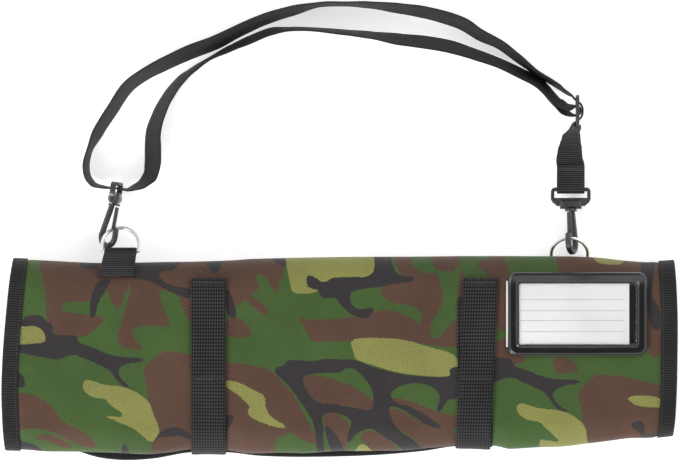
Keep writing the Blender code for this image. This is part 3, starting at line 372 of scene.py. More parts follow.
# %% Where the cloth runs
def hermite(p1, m1, p2, m2, t):
    """A smooth curve from p1 to p2 with the slopes m1 and m2, at a share t of the way."""
    return (
        p1 * (2 * t**3 - 3 * t**2 + 1) + m1 * (t**3 - 2 * t**2 + t)
        + p2 * (3 * t**2 - 2 * t**3) + m2 * (t**3 - t**2)
    )


def column_at(table, column, at):
    """A smooth curve through one column of a table, read at many values of its first column."""
    rows = np.array(table)
    x, y = rows[:, 0], rows[:, column]
    spots = np.arange(len(x))
    low, high = np.maximum(spots - 1, 0), np.minimum(spots + 1, len(x) - 1)
    slope = (y[high] - y[low]) / (x[high] - x[low])
    at = np.clip(at, x[0], x[-1])
    i = np.clip(np.searchsorted(x, at, side="right") - 1, 0, len(x) - 2)
    span = x[i + 1] - x[i]
    t = (at - x[i]) / span
    return hermite(y[i], slope[i] * span, y[i + 1], slope[i + 1] * span, t)


def ease(low, high, value):
    """A soft step from 0 to 1 between two values."""
    t = np.clip((value - low) / (high - low), 0.0, 1.0)
    return t * t * (3 - 2 * t)


def free_edge(x):
    """The Y of the free edge, under the front fold."""
    return column_at(FREE_EDGE, 1, x / (ROLL_LENGTH / 2)) * ROLL_DEPTH / 2


def drawn_in(turn):
    """How far a wrap has moved inward at a turn."""
    return WRAP_PITCH * (np.floor(turn) + np.clip((turn % 1.0 - 0.2) / 0.6, 0.0, 1.0))


def at_end(x):
    """1 under the tape at the roll's ends, and 0 away from it."""
    from_end = ROLL_LENGTH / 2 - np.abs(x)
    return 1 - ease(TAPE_WIDTH + 0.001, TAPE_WIDTH + 0.012, from_end)


def closure_right_x(y):
    return CLOSURE_RIGHT_X + CLOSURE_RIGHT_LEAN * y


def lifted_to(x, y):
    """The least height of the outer wrap's middle, where it lies on a strap, a tab or its own tape."""
    inside = y - free_edge(x)
    edge = 1 - ease(TAPE_WIDTH + 0.001, TAPE_WIDTH + 0.008, inside)
    low = CLOTH / 2 + (TAPE_HALF - CLOTH / 2) * np.maximum(edge, at_end(x))
    for centre in (CLOSURE_LEFT_X, closure_right_x(y)):
        beside = 1 - ease(CLOSURE_WIDTH / 2 + 0.007, CLOSURE_WIDTH / 2 + 0.017, np.abs(x - centre))
        under = 1 - ease(CLOSURE_UNDER + 0.001, CLOSURE_UNDER + 0.012, inside)
        lift = CLOSURE_THICK + 2 * CLEAR + TAPE_HALF - CLOTH / 2
        low = np.maximum(low, CLOTH / 2 + lift * beside * under)
    beside = 1 - ease(TAB_WIDTH / 2 + 0.002, TAB_WIDTH / 2 + 0.012, np.abs(x - RING_RIGHT_X))
    under = ease(TAB_UNDER_Y - 0.020, TAB_UNDER_Y - 0.0035, y)
    return np.maximum(low, CLOTH / 2 + (2 * TAB_THICK + 2 * CLEAR) * beside * under)


def wrap_place(x, turn):
    """(y, z) of the middle of the cloth, at places along the roll and turns of the spiral."""
    along = x / (ROLL_LENGTH / 2)
    bottom = CLOTH / 2 + (TAPE_HALF - CLOTH / 2) * at_end(x)
    back = column_at(OUTLINE, 1, along) * ROLL_DEPTH / 2 - CLOTH / 2
    front = column_at(OUTLINE, 2, along) * ROLL_DEPTH / 2 + CLOTH / 2
    half_depth = (back - front + WRAP_PITCH) / 2
    middle = back - half_depth + drawn_in(np.array(0.25))
    half_height = (ROLL_HEIGHT - CROWN - CLOTH / 2 - bottom + WRAP_PITCH / 2) / 2
    share = turn % 1.0
    inward = drawn_in(turn)
    depth = half_depth - inward
    height = half_height - inward
    fold = FOLD_DEPTH - 0.8 * inward
    side = np.where(share < 0.5, 1, -1)
    upper = (share >= 0.25) & (share < 0.75)
    out = np.abs(((share * 4 + 1) % 2) - 1)
    bend = np.clip((out - FLAT_SHARE) / (1 - FLAT_SHARE), 0, 1) * math.pi / 2
    y = np.where(out < FLAT_SHARE, (depth - fold) * out / FLAT_SHARE, depth - fold + fold * np.sin(bend))
    z = height * np.cos(bend)
    crown = np.where(upper, CROWN * (1 - (y / depth) ** 2), 0.0)
    start = free_edge(x) + TAPE + CLEAR
    run = np.interp(turn, (-0.25, -0.21, HEM_TURN), (0.0, 0.0112, HEM_RUN))
    lying = np.where(turn < HEM_TURN, start + run, middle + (start + HEM_RUN - middle) * turn / HEM_TURN)
    y = np.where(turn < 0, lying, middle + side * y)
    z = np.where(turn < 0, bottom, bottom + half_height + np.where(upper, z, -z) + crown)
    return y, np.where(turn < 0.2, np.maximum(z, lifted_to(x, y)), z)


print("height of the top's middle, mm:", round(float(wrap_place(np.array(0.0), np.array(0.5))[1]) * 1000, 2))

# %% [markdown]
# ## Dents and puckers
# Padded cloth that has been rolled and strapped isn't smooth. It swells between the straps, is drawn in
# along each line of stitches, and has a few long shallow waves. These are added along the cloth's
# normal, up to a millimetre and a half deep where all waves meet, and only on the part that shows.

# %% Dents
WAVES = (
    # x period, y period, phase, height
    (0.171, 0.090, 0.4, 0.00055), (0.093, 0.140, 2.1, 0.00045), (0.061, -0.075, 4.0, 0.00036),
    (0.038, 0.052, 1.2, 0.00018),
)
PUCKER_PERIOD = 0.0135
PUCKER = 0.00030
STRAP_PRESS = 0.0007
TURN_STEP = 0.002


def dent(x, y, turn):
    """How far the face stands out of the plain shape."""
    shown = ease(0.18, 0.30, turn) * (1 - ease(0.80, 0.92, turn))
    total = np.zeros(np.broadcast(x, y).shape)
    for across, up, phase, height in WAVES:
        total = total + height * np.sin(2 * math.pi * (x / across + y / up) + phase)
    total = total * ease(0.29, 0.40, turn)
    from_end = ROLL_LENGTH / 2 - TAPE_WIDTH - np.abs(x)
    gather = np.sin(2 * math.pi * y / PUCKER_PERIOD + 1.3 * np.sin(y * 90) + np.sign(x))
    total = total + PUCKER * gather * (1 - ease(0.001, 0.016, from_end)) * ease(-0.002, 0.001, from_end)
    for centre in (CLOSURE_LEFT_X, closure_right_x(y)):
        beside = np.abs(x - centre) - CLOSURE_WIDTH / 2
        held = 1 - ease(-0.002, 0.014, beside)
        total = total - STRAP_PRESS * held * ease(0.60, 0.72, turn)
    return total * shown * ease(-0.001, 0.006, from_end + 0.001)


def end_lean(x, y):
    """How far the ends' slant moves a point along X."""
    along = x / (ROLL_LENGTH / 2)
    left, right = (column_at(END_LEAN, k, y / (ROLL_DEPTH / 2)) for k in (1, 2))
    return -np.sign(along) * np.where(along < 0, left, right) * ROLL_LENGTH * along**2


def cloth_face(x, turn, above, lean=True):
    """Points a height above the cloth's middle, where the turns go out of the spiral."""
    before, after = wrap_place(x, turn - TURN_STEP), wrap_place(x, turn + TURN_STEP)
    y, z = wrap_place(x, turn)
    run_y, run_z = after[0] - before[0], after[1] - before[1]
    long = np.sqrt(run_y**2 + run_z**2)
    normal_y, normal_z = run_z / long, -run_y / long
    above = above + dent(x, y, turn)
    shown_x = x + (end_lean(x, y) if lean else 0.0) + 0 * y
    return np.stack((shown_x, y + normal_y * above, z + normal_z * above), axis=-1)


print("dents ready")

# %% [markdown]
# ## Laying cloth
# A piece of cloth starts as a flat grid primitive, extruded once so that it has an upper and an under
# sheet and closed edges. Its points are then laid on two grids of places, row by row. The attribute
# named woven keeps how far each point is across and along the cloth, for the threads to follow.

# %% Helpers that lay cloth
def only(made):
    """Deselects everything and then selects one object."""
    bpy.ops.object.select_all(action="DESELECT")
    made.select_set(True)
    bpy.context.view_layer.objects.active = made


def finished(made, finish, slot, body, *nodes, angle=40):
    """Gives a piece its material, its body and the nodes that it stands for."""
    only(made)
    bpy.ops.object.mode_set(mode="EDIT")
    bpy.ops.mesh.select_all(action="SELECT")
    bpy.ops.mesh.normals_make_consistent(inside=False)
    bpy.ops.object.mode_set(mode="OBJECT")
    bpy.ops.object.shade_smooth_by_angle(angle=math.radians(angle))
    made.data.materials.clear()
    made.data.materials.append(finish)
    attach(made, body)
    if nodes:
        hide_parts(*nodes)
    triangles = sum(len(p.vertices) - 2 for p in made.data.polygons)
    print(made.name, "triangles:", triangles)
    return made


def from_points(name, vertices, faces):
    """A piece made of given points and faces, in the place of a plane's own."""
    bpy.ops.object.select_all(action="DESELECT")
    bpy.ops.mesh.primitive_plane_add(size=1)
    made = bpy.context.object
    made.name = name
    made.data.clear_geometry()
    made.data.from_pydata([tuple(v) for v in vertices], [], faces)
    return made


def lengths_along(places):
    """Running length down each column of a grid of places."""
    steps = np.linalg.norm(np.diff(places, axis=0), axis=-1)
    return np.concatenate((np.zeros((1, places.shape[1])), np.cumsum(steps, axis=0)))


def lay_cloth(name, upper, under):
    """A closed piece between two grids of places, which have the same rows and columns."""
    rows, columns = upper.shape[:2]
    bpy.ops.object.select_all(action="DESELECT")
    bpy.ops.mesh.primitive_grid_add(x_subdivisions=columns - 1, y_subdivisions=rows - 1, size=2)
    made = bpy.context.object
    made.name = name
    bpy.ops.object.mode_set(mode="EDIT")
    bpy.ops.mesh.select_all(action="SELECT")
    bpy.ops.mesh.extrude_region_move(TRANSFORM_OT_translate={"value": (0, 0, 1)})
    bpy.ops.object.mode_set(mode="OBJECT")
    mesh = made.data
    flat = np.empty(len(mesh.vertices) * 3, np.float32)
    mesh.vertices.foreach_get("co", flat)
    flat = flat.reshape(-1, 3)
    column = np.rint((flat[:, 0] + 1) / 2 * (columns - 1)).astype(int)
    row = np.rint((flat[:, 1] + 1) / 2 * (rows - 1)).astype(int)
    high = flat[:, 2] > 0.5
    places = np.where(high[:, None], upper[row, column], under[row, column])
    mesh.vertices.foreach_set("co", places.astype(np.float32).ravel())
    across = lengths_along(np.swapaxes(upper, 0, 1)).T
    along = lengths_along(upper)
    woven = np.stack((across[row, column], along[row, column], 0 * across[row, column]), axis=-1)
    kept = mesh.attributes.new("woven", "FLOAT_VECTOR", "POINT")
    kept.data.foreach_set("vector", woven.astype(np.float32).ravel())
    mesh.update()
    return made, row, column


print("cloth helpers ready")

# %% [markdown]
# ## The camouflage
# The print is four flat colours with soft edges: a green ground, brown patches, khaki lightning shapes
# and black twigs on top, and it repeats about every 313 mm along the roll. The outlines are charted
# in millimetres from the roll's middle, as x, y, x, y and so on. The chart is flat, so each
# outline's points are carried over the folds by their length along the cloth.

# %% The chart of the print
BROWN = (
    (156, 74, 224, 74, 224, 56, 170, 55, 160, 58, 157, 64),
    (107, 66, 113, 69, 118, 66, 122, 60, 122, 30, 113, 26, 107, 30),
    (-219, 73, -37, 73, -40, 59, -45, 50, -44, 44, -52, 52, -65, 44, -74, 35, -81, 37, -106, 42, -131, 48,
     -151, 52, -166, 51, -171, 42, -177, 41, -180, 39, -198, 39, -202, 34, -199, 30, -182, 28, -168, 26,
     -177, 19, -182, 14, -193, 13, -205, 15, -210, 22, -210, 37, -212, 53, -215, 62),
    (-151, 52, -129, 50, -131, 44, -128, 34, -121, 20, -135, 22, -145, 21, -150, 19, -151, 15, -147, 9,
     -141, 4, -152, 5, -159, 9, -159, 14, -156, 22, -152, 36, -149, 48),
    (-166, 51, -151, 51, -155, 44, -159, 33, -162, 37, -166, 45),
    (-116, 42, -106, 41, -106, 23, -110, 30),
    (-128, 1, -121, 2, -107, -1, -82, -6, -65, -8, -49, -12, -43, -19, -37, -25, -31, -34, -26, -44,
     -20, -55, -15, -64, -29, -59, -35, -54, -43, -58, -48, -61, -45, -69, -49, -72, -135, -72, -135, -63,
     -129, -55, -130, -52, -135, -39, -137, -31, -138, -20, -141, -11, -135, -5),
    (-28, -17, -20, -15, 4, -20, 4, -36, -7, -36, -15, -34, -23, -27),
    (-12, -42, 4, -42, 4, -67, -6, -61, -10, -50),
    (-232, -27, -224, -29, -215, -32, -207, -38, -202, -47, -194, -52, -185, -55, -177, -62, -176, -66,
     -182, -65, -193, -61, -205, -55, -216, -52, -226, -52, -232, -55),
    (-221, -59, -209, -57, -198, -62, -191, -66, -201, -65, -210, -60),
    (-81, 25, -74, 26, -68, 22, -62, 14, -73, 13, -81, 14),
    (-28, 27, -24, 24, -13, 25, 4, 24, 4, 12, -10, 10, -21, 10, -22, 17, -27, 23),
    (-70, 43, -67, 44, -60, 39, -53, 33, -51, 29, -55, 30, -62, 35),
    (37, 69, 46, 69, 51, 61, 62, 57, 70, 58, 71, 51, 75, 42, 70, 31, 64, 20, 64, 11, 73, 11, 78, 19,
     85, 26, 86, 5, 65, 8, 46, 11, 23, 12, 7, 11, -5, 11, -5, 25, 9, 26, 18, 26, 26, 31, 39, 31, 51, 26,
     58, 20, 61, 26, 59, 32, 51, 37, 36, 38, 28, 48, 39, 51, 54, 51, 53, 56, 42, 56),
    (68, 69, 87, 69, 87, 60, 73, 60, 67, 63),
    (87, 59, 90, 59, 87, 5, 85, 5, 85, 26),
    (113, 59, 120, 58, 121, 51, 121, 19, 113, 16),
    (113, 11, 123, 11, 123, 1, 134, -1, 132, -6, 112, -6),
    (158, 70, 174, 70, 206, 66, 217, 66, 217, 59, 157, 60),
    (100, 66, 109, 67, 115, 62, 115, 59, 101, 60),
    (218, 59, 230, 66, 234, 66, 234, 0, 221, -2),
    (153, -3, 164, -2, 173, -11, 165, -12, 156, -13),
    (36, -38, 46, -42, 65, -53, 85, -52, 86, -67, 75, -66, 56, -59, 43, -53, 37, -45),
    (-5, -19, 9, -23, 18, -30, 25, -34, 23, -41, 12, -37, -5, -34),
    (14, -59, 23, -54, 39, -62, 51, -67, 36, -68, 21, -63),
    (-5, -45, 7, -48, 6, -56, -5, -67),
    (37, -31, 51, -34, 70, -42, 86, -45, 86, -52, 75, -53, 65, -45, 53, -37, 39, -34),
    (185, -15, 192, -15, 206, -17, 231, -23, 248, -24, 263, -28, 270, -35, 276, -41, 282, -51, 287, -60,
     293, -71, 298, -80, 284, -75, 278, -70, 270, -74, 265, -77, 267, -85, 263, -88, 178, -88, 178, -80,
     184, -71, 183, -68, 178, -55, 176, -48, 175, -37, 172, -27, 178, -21),
)
GREEN = (
    (-59, 58, -55, 57, -50, 50, -45, 41, -45, 37, -51, 40, -57, 47, -60, 54),
)
KHAKI = (
    (174, 73, 177, 69, 183, 66, 192, 64, 206, 64, 208, 66, 196, 68, 188, 71, 184, 75),
    (-234, 20, -218, 21, -212, 16, -211, 9, -218, 8, -234, 7),
    (-185, -22, -183, -18, -177, -19, -170, -22, -157, -23, -148, -26, -137, -34, -135, -41, -132, -48,
     -129, -56, -135, -63, -141, -58, -149, -52, -160, -48, -171, -43, -163, -45, -154, -45, -157, -41,
     -165, -36, -168, -31, -176, -31, -183, -27),
    (-82, -18, -73, -20, -63, -25, -53, -30, -54, -36, -51, -44, -43, -49, -36, -53, -46, -52, -57, -48,
     -65, -44, -66, -40, -63, -38, -70, -31, -75, -27, -82, -23),
    (-40, 70, 4, 71, 4, 55, -6, 56, -10, 51, -17, 51, -13, 47, -20, 44, -34, 44, -35, 51, -38, 61),
    (-5, 70, 19, 70, 27, 62, 20, 55, 9, 56, -5, 55),
    (7, 11, 23, 12, 46, 11, 65, 5, 85, 0, 85, -11, 78, -16, 62, -15, 43, -13, 20, -6, 11, -3, 11, 1),
    (174, 70, 195, 69, 204, 66, 187, 66, 176, 68),
    (206, -31, 218, -29, 234, -32, 234, -38, 215, -37, 210, -34),
    (8, -67, 12, -64, 21, -64, 34, -68, 9, -69),
    (127, -38, 130, -35, 135, -36, 143, -39, 156, -40, 165, -42, 176, -50, 178, -57, 181, -65, 184, -73,
     178, -80, 171, -74, 164, -69, 153, -65, 142, -60, 150, -61, 159, -62, 156, -58, 148, -52, 145, -48,
     137, -47, 130, -44),
)
# Two of the black outlines, along the front fold's lower edge, are painted shade and not print.
BLACK = (
    (-150, 68, -116, 68, -115, 62, -126, 59, -136, 61, -150, 56),
    (-188, 66, -173, 66, -173, 60, -182, 61, -188, 62),
    (-149, 66, -114, 66, -114, 60, -132, 59, -126, 51, -115, 48, -106, 48, -106, 40, -115, 42, -123, 46,
     -135, 52, -145, 54, -151, 54),
    (-173, 54, -163, 54, -168, 47, -174, 37, -176, 26, -179, 25, -180, 34, -178, 45),
    (-97, 69, -84, 69, -84, 58, -96, 58),
    (-82, 50, -77, 42, -73, 26, -79, 26, -82, 34),
    (-229, 23, -227, 27, -221, 29, -213, 28, -211, 23, -206, 23, -207, 14, -198, 14, -188, 14, -189, 9,
     -177, 5, -166, 0, -154, -2, -139, -2, -141, -5, -151, -6, -159, -9, -159, -15, -154, -21, -144, -26,
     -154, -24, -160, -19, -165, -11, -176, -6, -187, -1, -193, 0, -202, -4, -213, -2, -230, 1, -234, 4,
     -234, 7, -218, 8, -211, 9, -212, 16, -218, 21, -230, 20),
    (-234, -11, -228, -14, -226, -20, -226, -24, -234, -23),
    # Painted shade where the front fold turns under, at the left.
    (-235, -59, -227, -62, -215, -65, -201, -67, -191, -70, -235, -70),
    (-158, -65, -152, -63, -149, -67, -146, -70, -155, -69),
    (-135, -63, -130, -56, -121, -52, -113, -53, -107, -57, -107, -62, -115, -58, -123, -59, -129, -59),
    (-82, -43, -75, -43, -79, -52, -82, -56),
    (-48, -10, -40, -8, -37, -3, -21, -5, -13, -3, 4, -3, 4, -13, -13, -13, -27, -15, -26, -22, -20, -31,
     -15, -35, 4, -36, 4, -41, -13, -42, -12, -50, -9, -70, -14, -70, -17, -52, -23, -41, -31, -30,
     -38, -20, -45, -15),
    (-11, -48, 4, -63, 4, -69, -10, -58),
    (-53, 68, -43, 69, -38, 64, -39, 62, -48, 65),
    (-24, 53, -23, 57, -18, 56, -12, 51, -4, 56, 4, 54, 4, 42, -10, 40, -15, 42, -13, 46, -23, 48),
    (20, 70, 38, 70, 37, 64, 42, 56, 54, 56, 53, 52, 39, 51, 28, 48, 21, 48, 9, 46, 7, 41, 9, 35, 15, 32,
     25, 35, 25, 31, 20, 26, 14, 26, 7, 30, 2, 34, -5, 44, -5, 55, 9, 56, 20, 55, 27, 61),
    (-5, -4, 11, -3, 21, -8, 43, -14, 62, -16, 78, -16, 86, -14, 86, -33, 78, -31, 73, -41, 69, -41,
     73, -31, 70, -25, 62, -21, 53, -20, 42, -23, 36, -28, 39, -34, 53, -38, 65, -45, 76, -54, 65, -52,
     54, -45, 43, -38, 35, -37, 36, -44, 43, -55, 56, -61, 75, -67, 84, -69, 62, -68, 43, -64, 31, -58,
     23, -52, 12, -56, 6, -64, 5, -58, 9, -50, 7, -45, -5, -41, -5, -36, 12, -38, 23, -41, 25, -33,
     23, -23, 15, -13, 9, -9, -5, -11),
    (216, 68, 230, 67, 226, 53, 224, 42, 231, 33, 231, 16, 223, 20, 221, 42, 217, 51),
    (210, -49, 217, -47, 220, -50, 221, -57, 217, -55, 210, -52),
    # Painted shade where the front fold turns under, at the right.
    (215, -57, 234, -55, 234, -62, 217, -60),
    (84, 6, 86, 11, 92, 13, 100, 11, 102, 7, 107, 6, 106, -2, 115, -2, 125, -3, 124, -8, 135, -11,
     146, -16, 159, -18, 174, -18, 171, -21, 162, -22, 154, -26, 153, -31, 159, -38, 169, -42, 159, -41,
     153, -35, 148, -27, 137, -22, 126, -17, 120, -16, 111, -21, 100, -18, 82, -16, 79, -13, 79, -9,
     95, -8, 102, -8, 100, 0, 95, 5, 83, 4),
)

REPEAT = (312.8, -16.4)
NEXT_ROW = (120.0, -216.0)
print("outlines:", len(BROWN) + len(GREEN) + len(KHAKI) + len(BLACK))

# %% From the chart to the cloth
def chart_height(x, turn):
    """How far each point is from the top's middle line, along the cloth, in millimetres."""
    y, z = wrap_place(x, turn)
    step = np.sqrt(np.diff(y, axis=0) ** 2 + np.diff(z, axis=0) ** 2)
    run = np.concatenate((np.zeros((1, y.shape[1])), np.cumsum(step, axis=0)))
    height = np.empty_like(run)
    top = (turn[:, 0] > 0.25) & (turn[:, 0] < 0.75)
    for k in range(y.shape[1]):
        height[:, k] = np.interp(0.0, y[top, k][::-1], run[top, k][::-1]) - run[:, k]
    return height * 1000, y


FOLD_NEAR = 2.5
FOLD_SPILL = 28


def carried(outline, columns, heights, depths):
    """An outline's points, moved from the flat chart to lengths along the cloth.

    A point that is charted at the very edge goes on over the fold.
    """
    found = []
    for x, y in zip(outline[::2], outline[1::2]):
        k = int(np.argmin(np.abs(columns - x / 1000)))
        low, high = depths[-1, k] * 1000, depths[0, k] * 1000
        height = np.interp(y, depths[::-1, k] * 1000, heights[::-1, k])
        if y > high - FOLD_NEAR:
            height += FOLD_SPILL
        if y < low + FOLD_NEAR:
            height -= FOLD_SPILL
        found.append((x, height))
    return np.array(found)


def rounded(outline):
    """Cuts an outline's corners twice, so that it bends as ink does."""
    for _ in range(2):
        after = np.roll(outline, -1, axis=0)
        cuts = (outline * 0.75 + after * 0.25, outline * 0.25 + after * 0.75)
        outline = np.stack(cuts, axis=1).reshape(-1, 2)
    return outline


def depth_inside(places, outline):
    """How deep each place is inside an outline, and negative outside it."""
    nearest = np.full(len(places), 1e9)
    inside = np.zeros(len(places), bool)
    px, py = places[:, 0], places[:, 1]
    for (x0, y0), (x1, y1) in zip(outline, np.roll(outline, -1, axis=0)):
        dx, dy = x1 - x0, y1 - y0
        share = np.clip(((px - x0) * dx + (py - y0) * dy) / (dx * dx + dy * dy + 1e-9), 0, 1)
        nearest = np.minimum(nearest, (px - x0 - share * dx) ** 2 + (py - y0 - share * dy) ** 2)
        if dy:
            inside ^= ((y0 > py) != (y1 > py)) & (px < dx * (py - y0) / dy + x0)
    return np.where(inside, 1, -1) * np.sqrt(nearest)


def printed(outlines, places, margin=6.0):
    """The greatest depth in any outline and its repeats, in millimetres."""
    deepest = np.full(len(places), -margin)
    for outline in outlines:
        for up in range(-2, 5):
            for side in range(-2, 3):
                if up == 0 and side != 0:  # the front row is charted over its whole length
                    continue
                shift = np.array(REPEAT) * side + np.array(NEXT_ROW) * up
                moved = outline + shift
                low, high = moved.min(axis=0) - margin, moved.max(axis=0) + margin
                near = np.flatnonzero(((places > low) & (places < high)).all(axis=1))
                if len(near):
                    deepest[near] = np.maximum(deepest[near], depth_inside(places[near], moved))
    return deepest


print("chart functions ready")

# %% [markdown]
# ## The wound panel
# The panel is one sheet, 2.4 mm thick and pressed to 1.4 mm under the tape. Its rows are close
# together where the cloth shows and further apart inside the roll.

# %% The wound panel
PANEL_COLUMNS = 296
turns_shown = np.linspace(0.20, 0.85, 110)
turns_under = np.concatenate((np.linspace(-0.25, -0.20, 4), np.linspace(-0.17, 0.18, 14)))
turns_inner = np.concatenate((np.linspace(0.87, 1.0, 5), np.linspace(1.03, WRAPS, 34)))
panel_turns = np.concatenate((turns_under, turns_shown, turns_inner))[:, None]
half = ROLL_LENGTH / 2 - TAPE - CLEAR
panel_x = np.linspace(-half, half, PANEL_COLUMNS)[None, :]


def cloth_half(x, turn):
    """Half the cloth's thickness, which the tape presses thin at the edges."""
    from_end = ROLL_LENGTH / 2 - np.abs(x)
    thin = 1 - ease(TAPE_WIDTH + 0.0005, TAPE_WIDTH + 0.003, from_end)
    inside = wrap_place(x, turn)[0] - free_edge(x)
    edge = np.where(turn < 0, 1 - ease(TAPE_WIDTH + 0.001, TAPE_WIDTH + 0.003, inside), 0.0)
    return (CLOTH + (SEAM_CLOTH - CLOTH) * np.maximum(thin, edge)) / 2


thick = cloth_half(panel_x, panel_turns)
panel, row, column = lay_cloth(
    "roll_panel_cloth",
    cloth_face(panel_x, panel_turns, thick),
    cloth_face(panel_x, panel_turns, -thick),
)
heights, depths = chart_height(panel_x, panel_turns)
shown_x = (panel_x + end_lean(panel_x, depths)) * 1000
table_turns = np.linspace(0.25, 0.75, 161)[:, None]
table_x = np.linspace(-half, half, 49)[None, :]
table_heights, table_depths = chart_height(table_x, table_turns)
chart_places = np.stack((shown_x + 0 * heights, heights), axis=-1).reshape(-1, 2)
for name, outlines in (("brown", BROWN), ("green", GREEN), ("khaki", KHAKI), ("black", BLACK)):
    ready = [rounded(carried(o, table_x[0], table_heights, table_depths)) for o in outlines]
    depth = printed(ready, chart_places).reshape(heights.shape)
    kept = panel.data.attributes.new(name, "FLOAT", "POINT")
    kept.data.foreach_set("value", depth[row, column].astype(np.float32))

# %% [markdown]
# ## The printed cloth's finish
# Each colour is a mask: the stored depth inside its outlines, moved a little by noise so the ink's
# edge wanders between threads. The weave is a fine diagonal check that dents the cloth, with a painted
# glint on its threads and painted shade between them.

# %% Finish of the printed cloth
cloth_finish, tree, shader = new_finish("camouflage_canvas", (0.05, 0.1, 0.03), 0.62, specular=0.32,
                                        Sheen_Weight=0.04)
WEAVE_PERIOD = 0.00175
place = add_node(tree, "ShaderNodeAttribute", output=1, attribute_name="woven")
weave = use_group(tree, threads, Place=place, Across=WEAVE_PERIOD, Along=WEAVE_PERIOD)
worn = use_group(tree, wear, Patch_Size=0.045, Low=0.90, High=1.12)
edge_noise = add_node(tree, "ShaderNodeTexNoise", {"Vector": place, "Scale": 420.0, "Detail": 2.0})
wander = math_node(tree, "MULTIPLY_ADD", edge_noise, 1.3, -0.65)


def ink(layer, spread=0.0):
    """A colour's mask, spread outward by some millimetres."""
    depth = add_node(tree, "ShaderNodeAttribute", output=2, attribute_name=layer)
    moved = math_node(tree, "ADD", math_node(tree, "ADD", depth, spread), wander)
    return add_node(tree, "ShaderNodeMapRange", {"Value": moved, 1: -0.35, 2: 0.35},
                    interpolation_type="SMOOTHSTEP")


GROUND_GREEN = (0.037, 0.078, 0.013, 1)
BROWN_INK = (0.073, 0.034, 0.020, 1)
KHAKI_INK = (0.195, 0.195, 0.050, 1)
# Black print, which also colours the two outlines of painted shade on the front fold.
BLACK_INK_AND_SHADE = (0.020, 0.016, 0.018, 1)
bare = math_node(tree, "SUBTRACT", ink("brown", 0.9), ink("green"), clamp=True)
colour = mix_colours(tree, bare, GROUND_GREEN, BROWN_INK)
colour = mix_colours(tree, ink("khaki", 0.3), colour, KHAKI_INK)
colour = mix_colours(tree, ink("black"), colour, BLACK_INK_AND_SHADE)
# The weave check is painted glint and painted shade; the wear patches and flecks are random tone.
glint_and_wear = math_node(tree, "MULTIPLY_ADD", weave["Grid"], 1.8, 0.10)
glint_and_wear = math_node(tree, "MULTIPLY", glint_and_wear, worn["Shade"])
fleck = math_node(tree, "MULTIPLY_ADD", worn["Fleck"], 0.5, 0.75)
glint_and_wear = math_node(tree, "MULTIPLY", glint_and_wear, fleck)
tree.links.new(shaded(tree, colour, glint_and_wear), shader.inputs["Base Color"])
fine = bump(tree, worn["Fleck"], 0.00006)
tree.links.new(bump(tree, weave["Grid"], 0.00012, 0.8, fine), shader.inputs["Normal"])
finished(panel, cloth_finish, "camouflage_cloth", "root", "roll_panel")

# %% [markdown]
# ## Tape on the edges
# Ribbed tape is folded over the two ends of the cloth and over its free edge, and stitched down. It is
# wound up with the cloth, so it follows the same spiral. Its section is a flat U with a round back.

# %% Tape on the edges
TAPE_BACK = 0.0012
TAPE_OVER = TAPE_HALF - 0.00002
TAPE_UNDER = SEAM_CLOTH / 2 + CLEAR


def tape_section():
    """(how far in from the edge, side) of points over the folded tape."""
    flat = [(TAPE_WIDTH * k / 4, 1.0) for k in range(4, 0, -1)]
    back = []
    for k in range(7):
        angle = math.pi * (0.5 - k / 6)
        back.append((TAPE_BACK * (1 - math.cos(angle)), math.sin(angle)))
    return flat + back + [(inset, -side) for inset, side in reversed(flat)]


def build_end_tape(side, end):
    """Tape folded over one end of the wound cloth, along its whole spiral."""
    turns = np.concatenate((np.linspace(-0.25, 0.18, 40), np.linspace(0.20, 0.85, 120),
                            np.linspace(0.87, WRAPS, 110)))[:, None]
    upper, under = [], []
    for inset, sign in tape_section():
        x = np.array([[end * (ROLL_LENGTH / 2 - inset)]])
        upper.append(cloth_face(x, turns, sign * TAPE_OVER)[:, 0])
        x = np.array([[end * (ROLL_LENGTH / 2 - max(inset, TAPE))]])
        under.append(cloth_face(x, turns, sign * TAPE_UNDER)[:, 0])
    made = lay_cloth("end_tape_" + side, np.stack(upper, axis=1), np.stack(under, axis=1))[0]
    return finished(made, tape_finish, "black_webbing", "root", "end_binding_" + side)


end_tapes = [build_end_tape("left", -1), build_end_tape("right", 1)]


def taped_edge(x):
    """(y, z) of the free edge: the tape's outer edge and the cloth's middle."""
    y, z = wrap_place(x, np.array(-0.25))
    return y - TAPE - CLEAR, z


limit = ROLL_LENGTH / 2 - TAPE_WIDTH - CLEAR
x = np.linspace(-limit, limit, 220)
edge, middle = taped_edge(x)
lean = end_lean(x, edge)
upper, under = [], []
for inset, sign in tape_section():
    upper.append(np.stack((x + lean, edge + inset, middle + sign * TAPE_OVER), axis=-1))
    under.append(np.stack((x + lean, edge + max(inset, TAPE), middle + sign * TAPE_UNDER), axis=-1))
flap_tape = lay_cloth("flap_tape", np.stack(upper, axis=1), np.stack(under, axis=1))[0]
finished(flap_tape, tape_finish, "black_webbing", "root", "flap_binding")

# %% [markdown]
# ## Closure straps
# Each strap starts near the back of the top, runs down over the front fold, and ends under the roll.
# The strip of loops under it peeps out beside the right one. Both are laid on the cloth's own face.

# %% Closure straps
def run_of(line):
    """Running length along a line of places."""
    return np.concatenate(([0], np.cumsum(np.linalg.norm(np.diff(line, axis=0), axis=1))))


def read_at(at, run, places):
    """Places read off a line at some of its running lengths."""
    return np.stack([np.interp(at, run, places[:, k]) for k in range(3)], axis=-1)


def resampled(places, count):
    """A line of places, cut into equal steps."""
    run = run_of(places)
    return read_at(np.linspace(0, run[-1], count), run, places)


def unit(rows):
    """Each row, made one long."""
    return rows / np.linalg.norm(rows, axis=1)[:, None]


EDGE_ROLL = (-1.0, -0.94, -0.80, -0.45, 0.0, 0.45, 0.80, 0.94, 1.0)


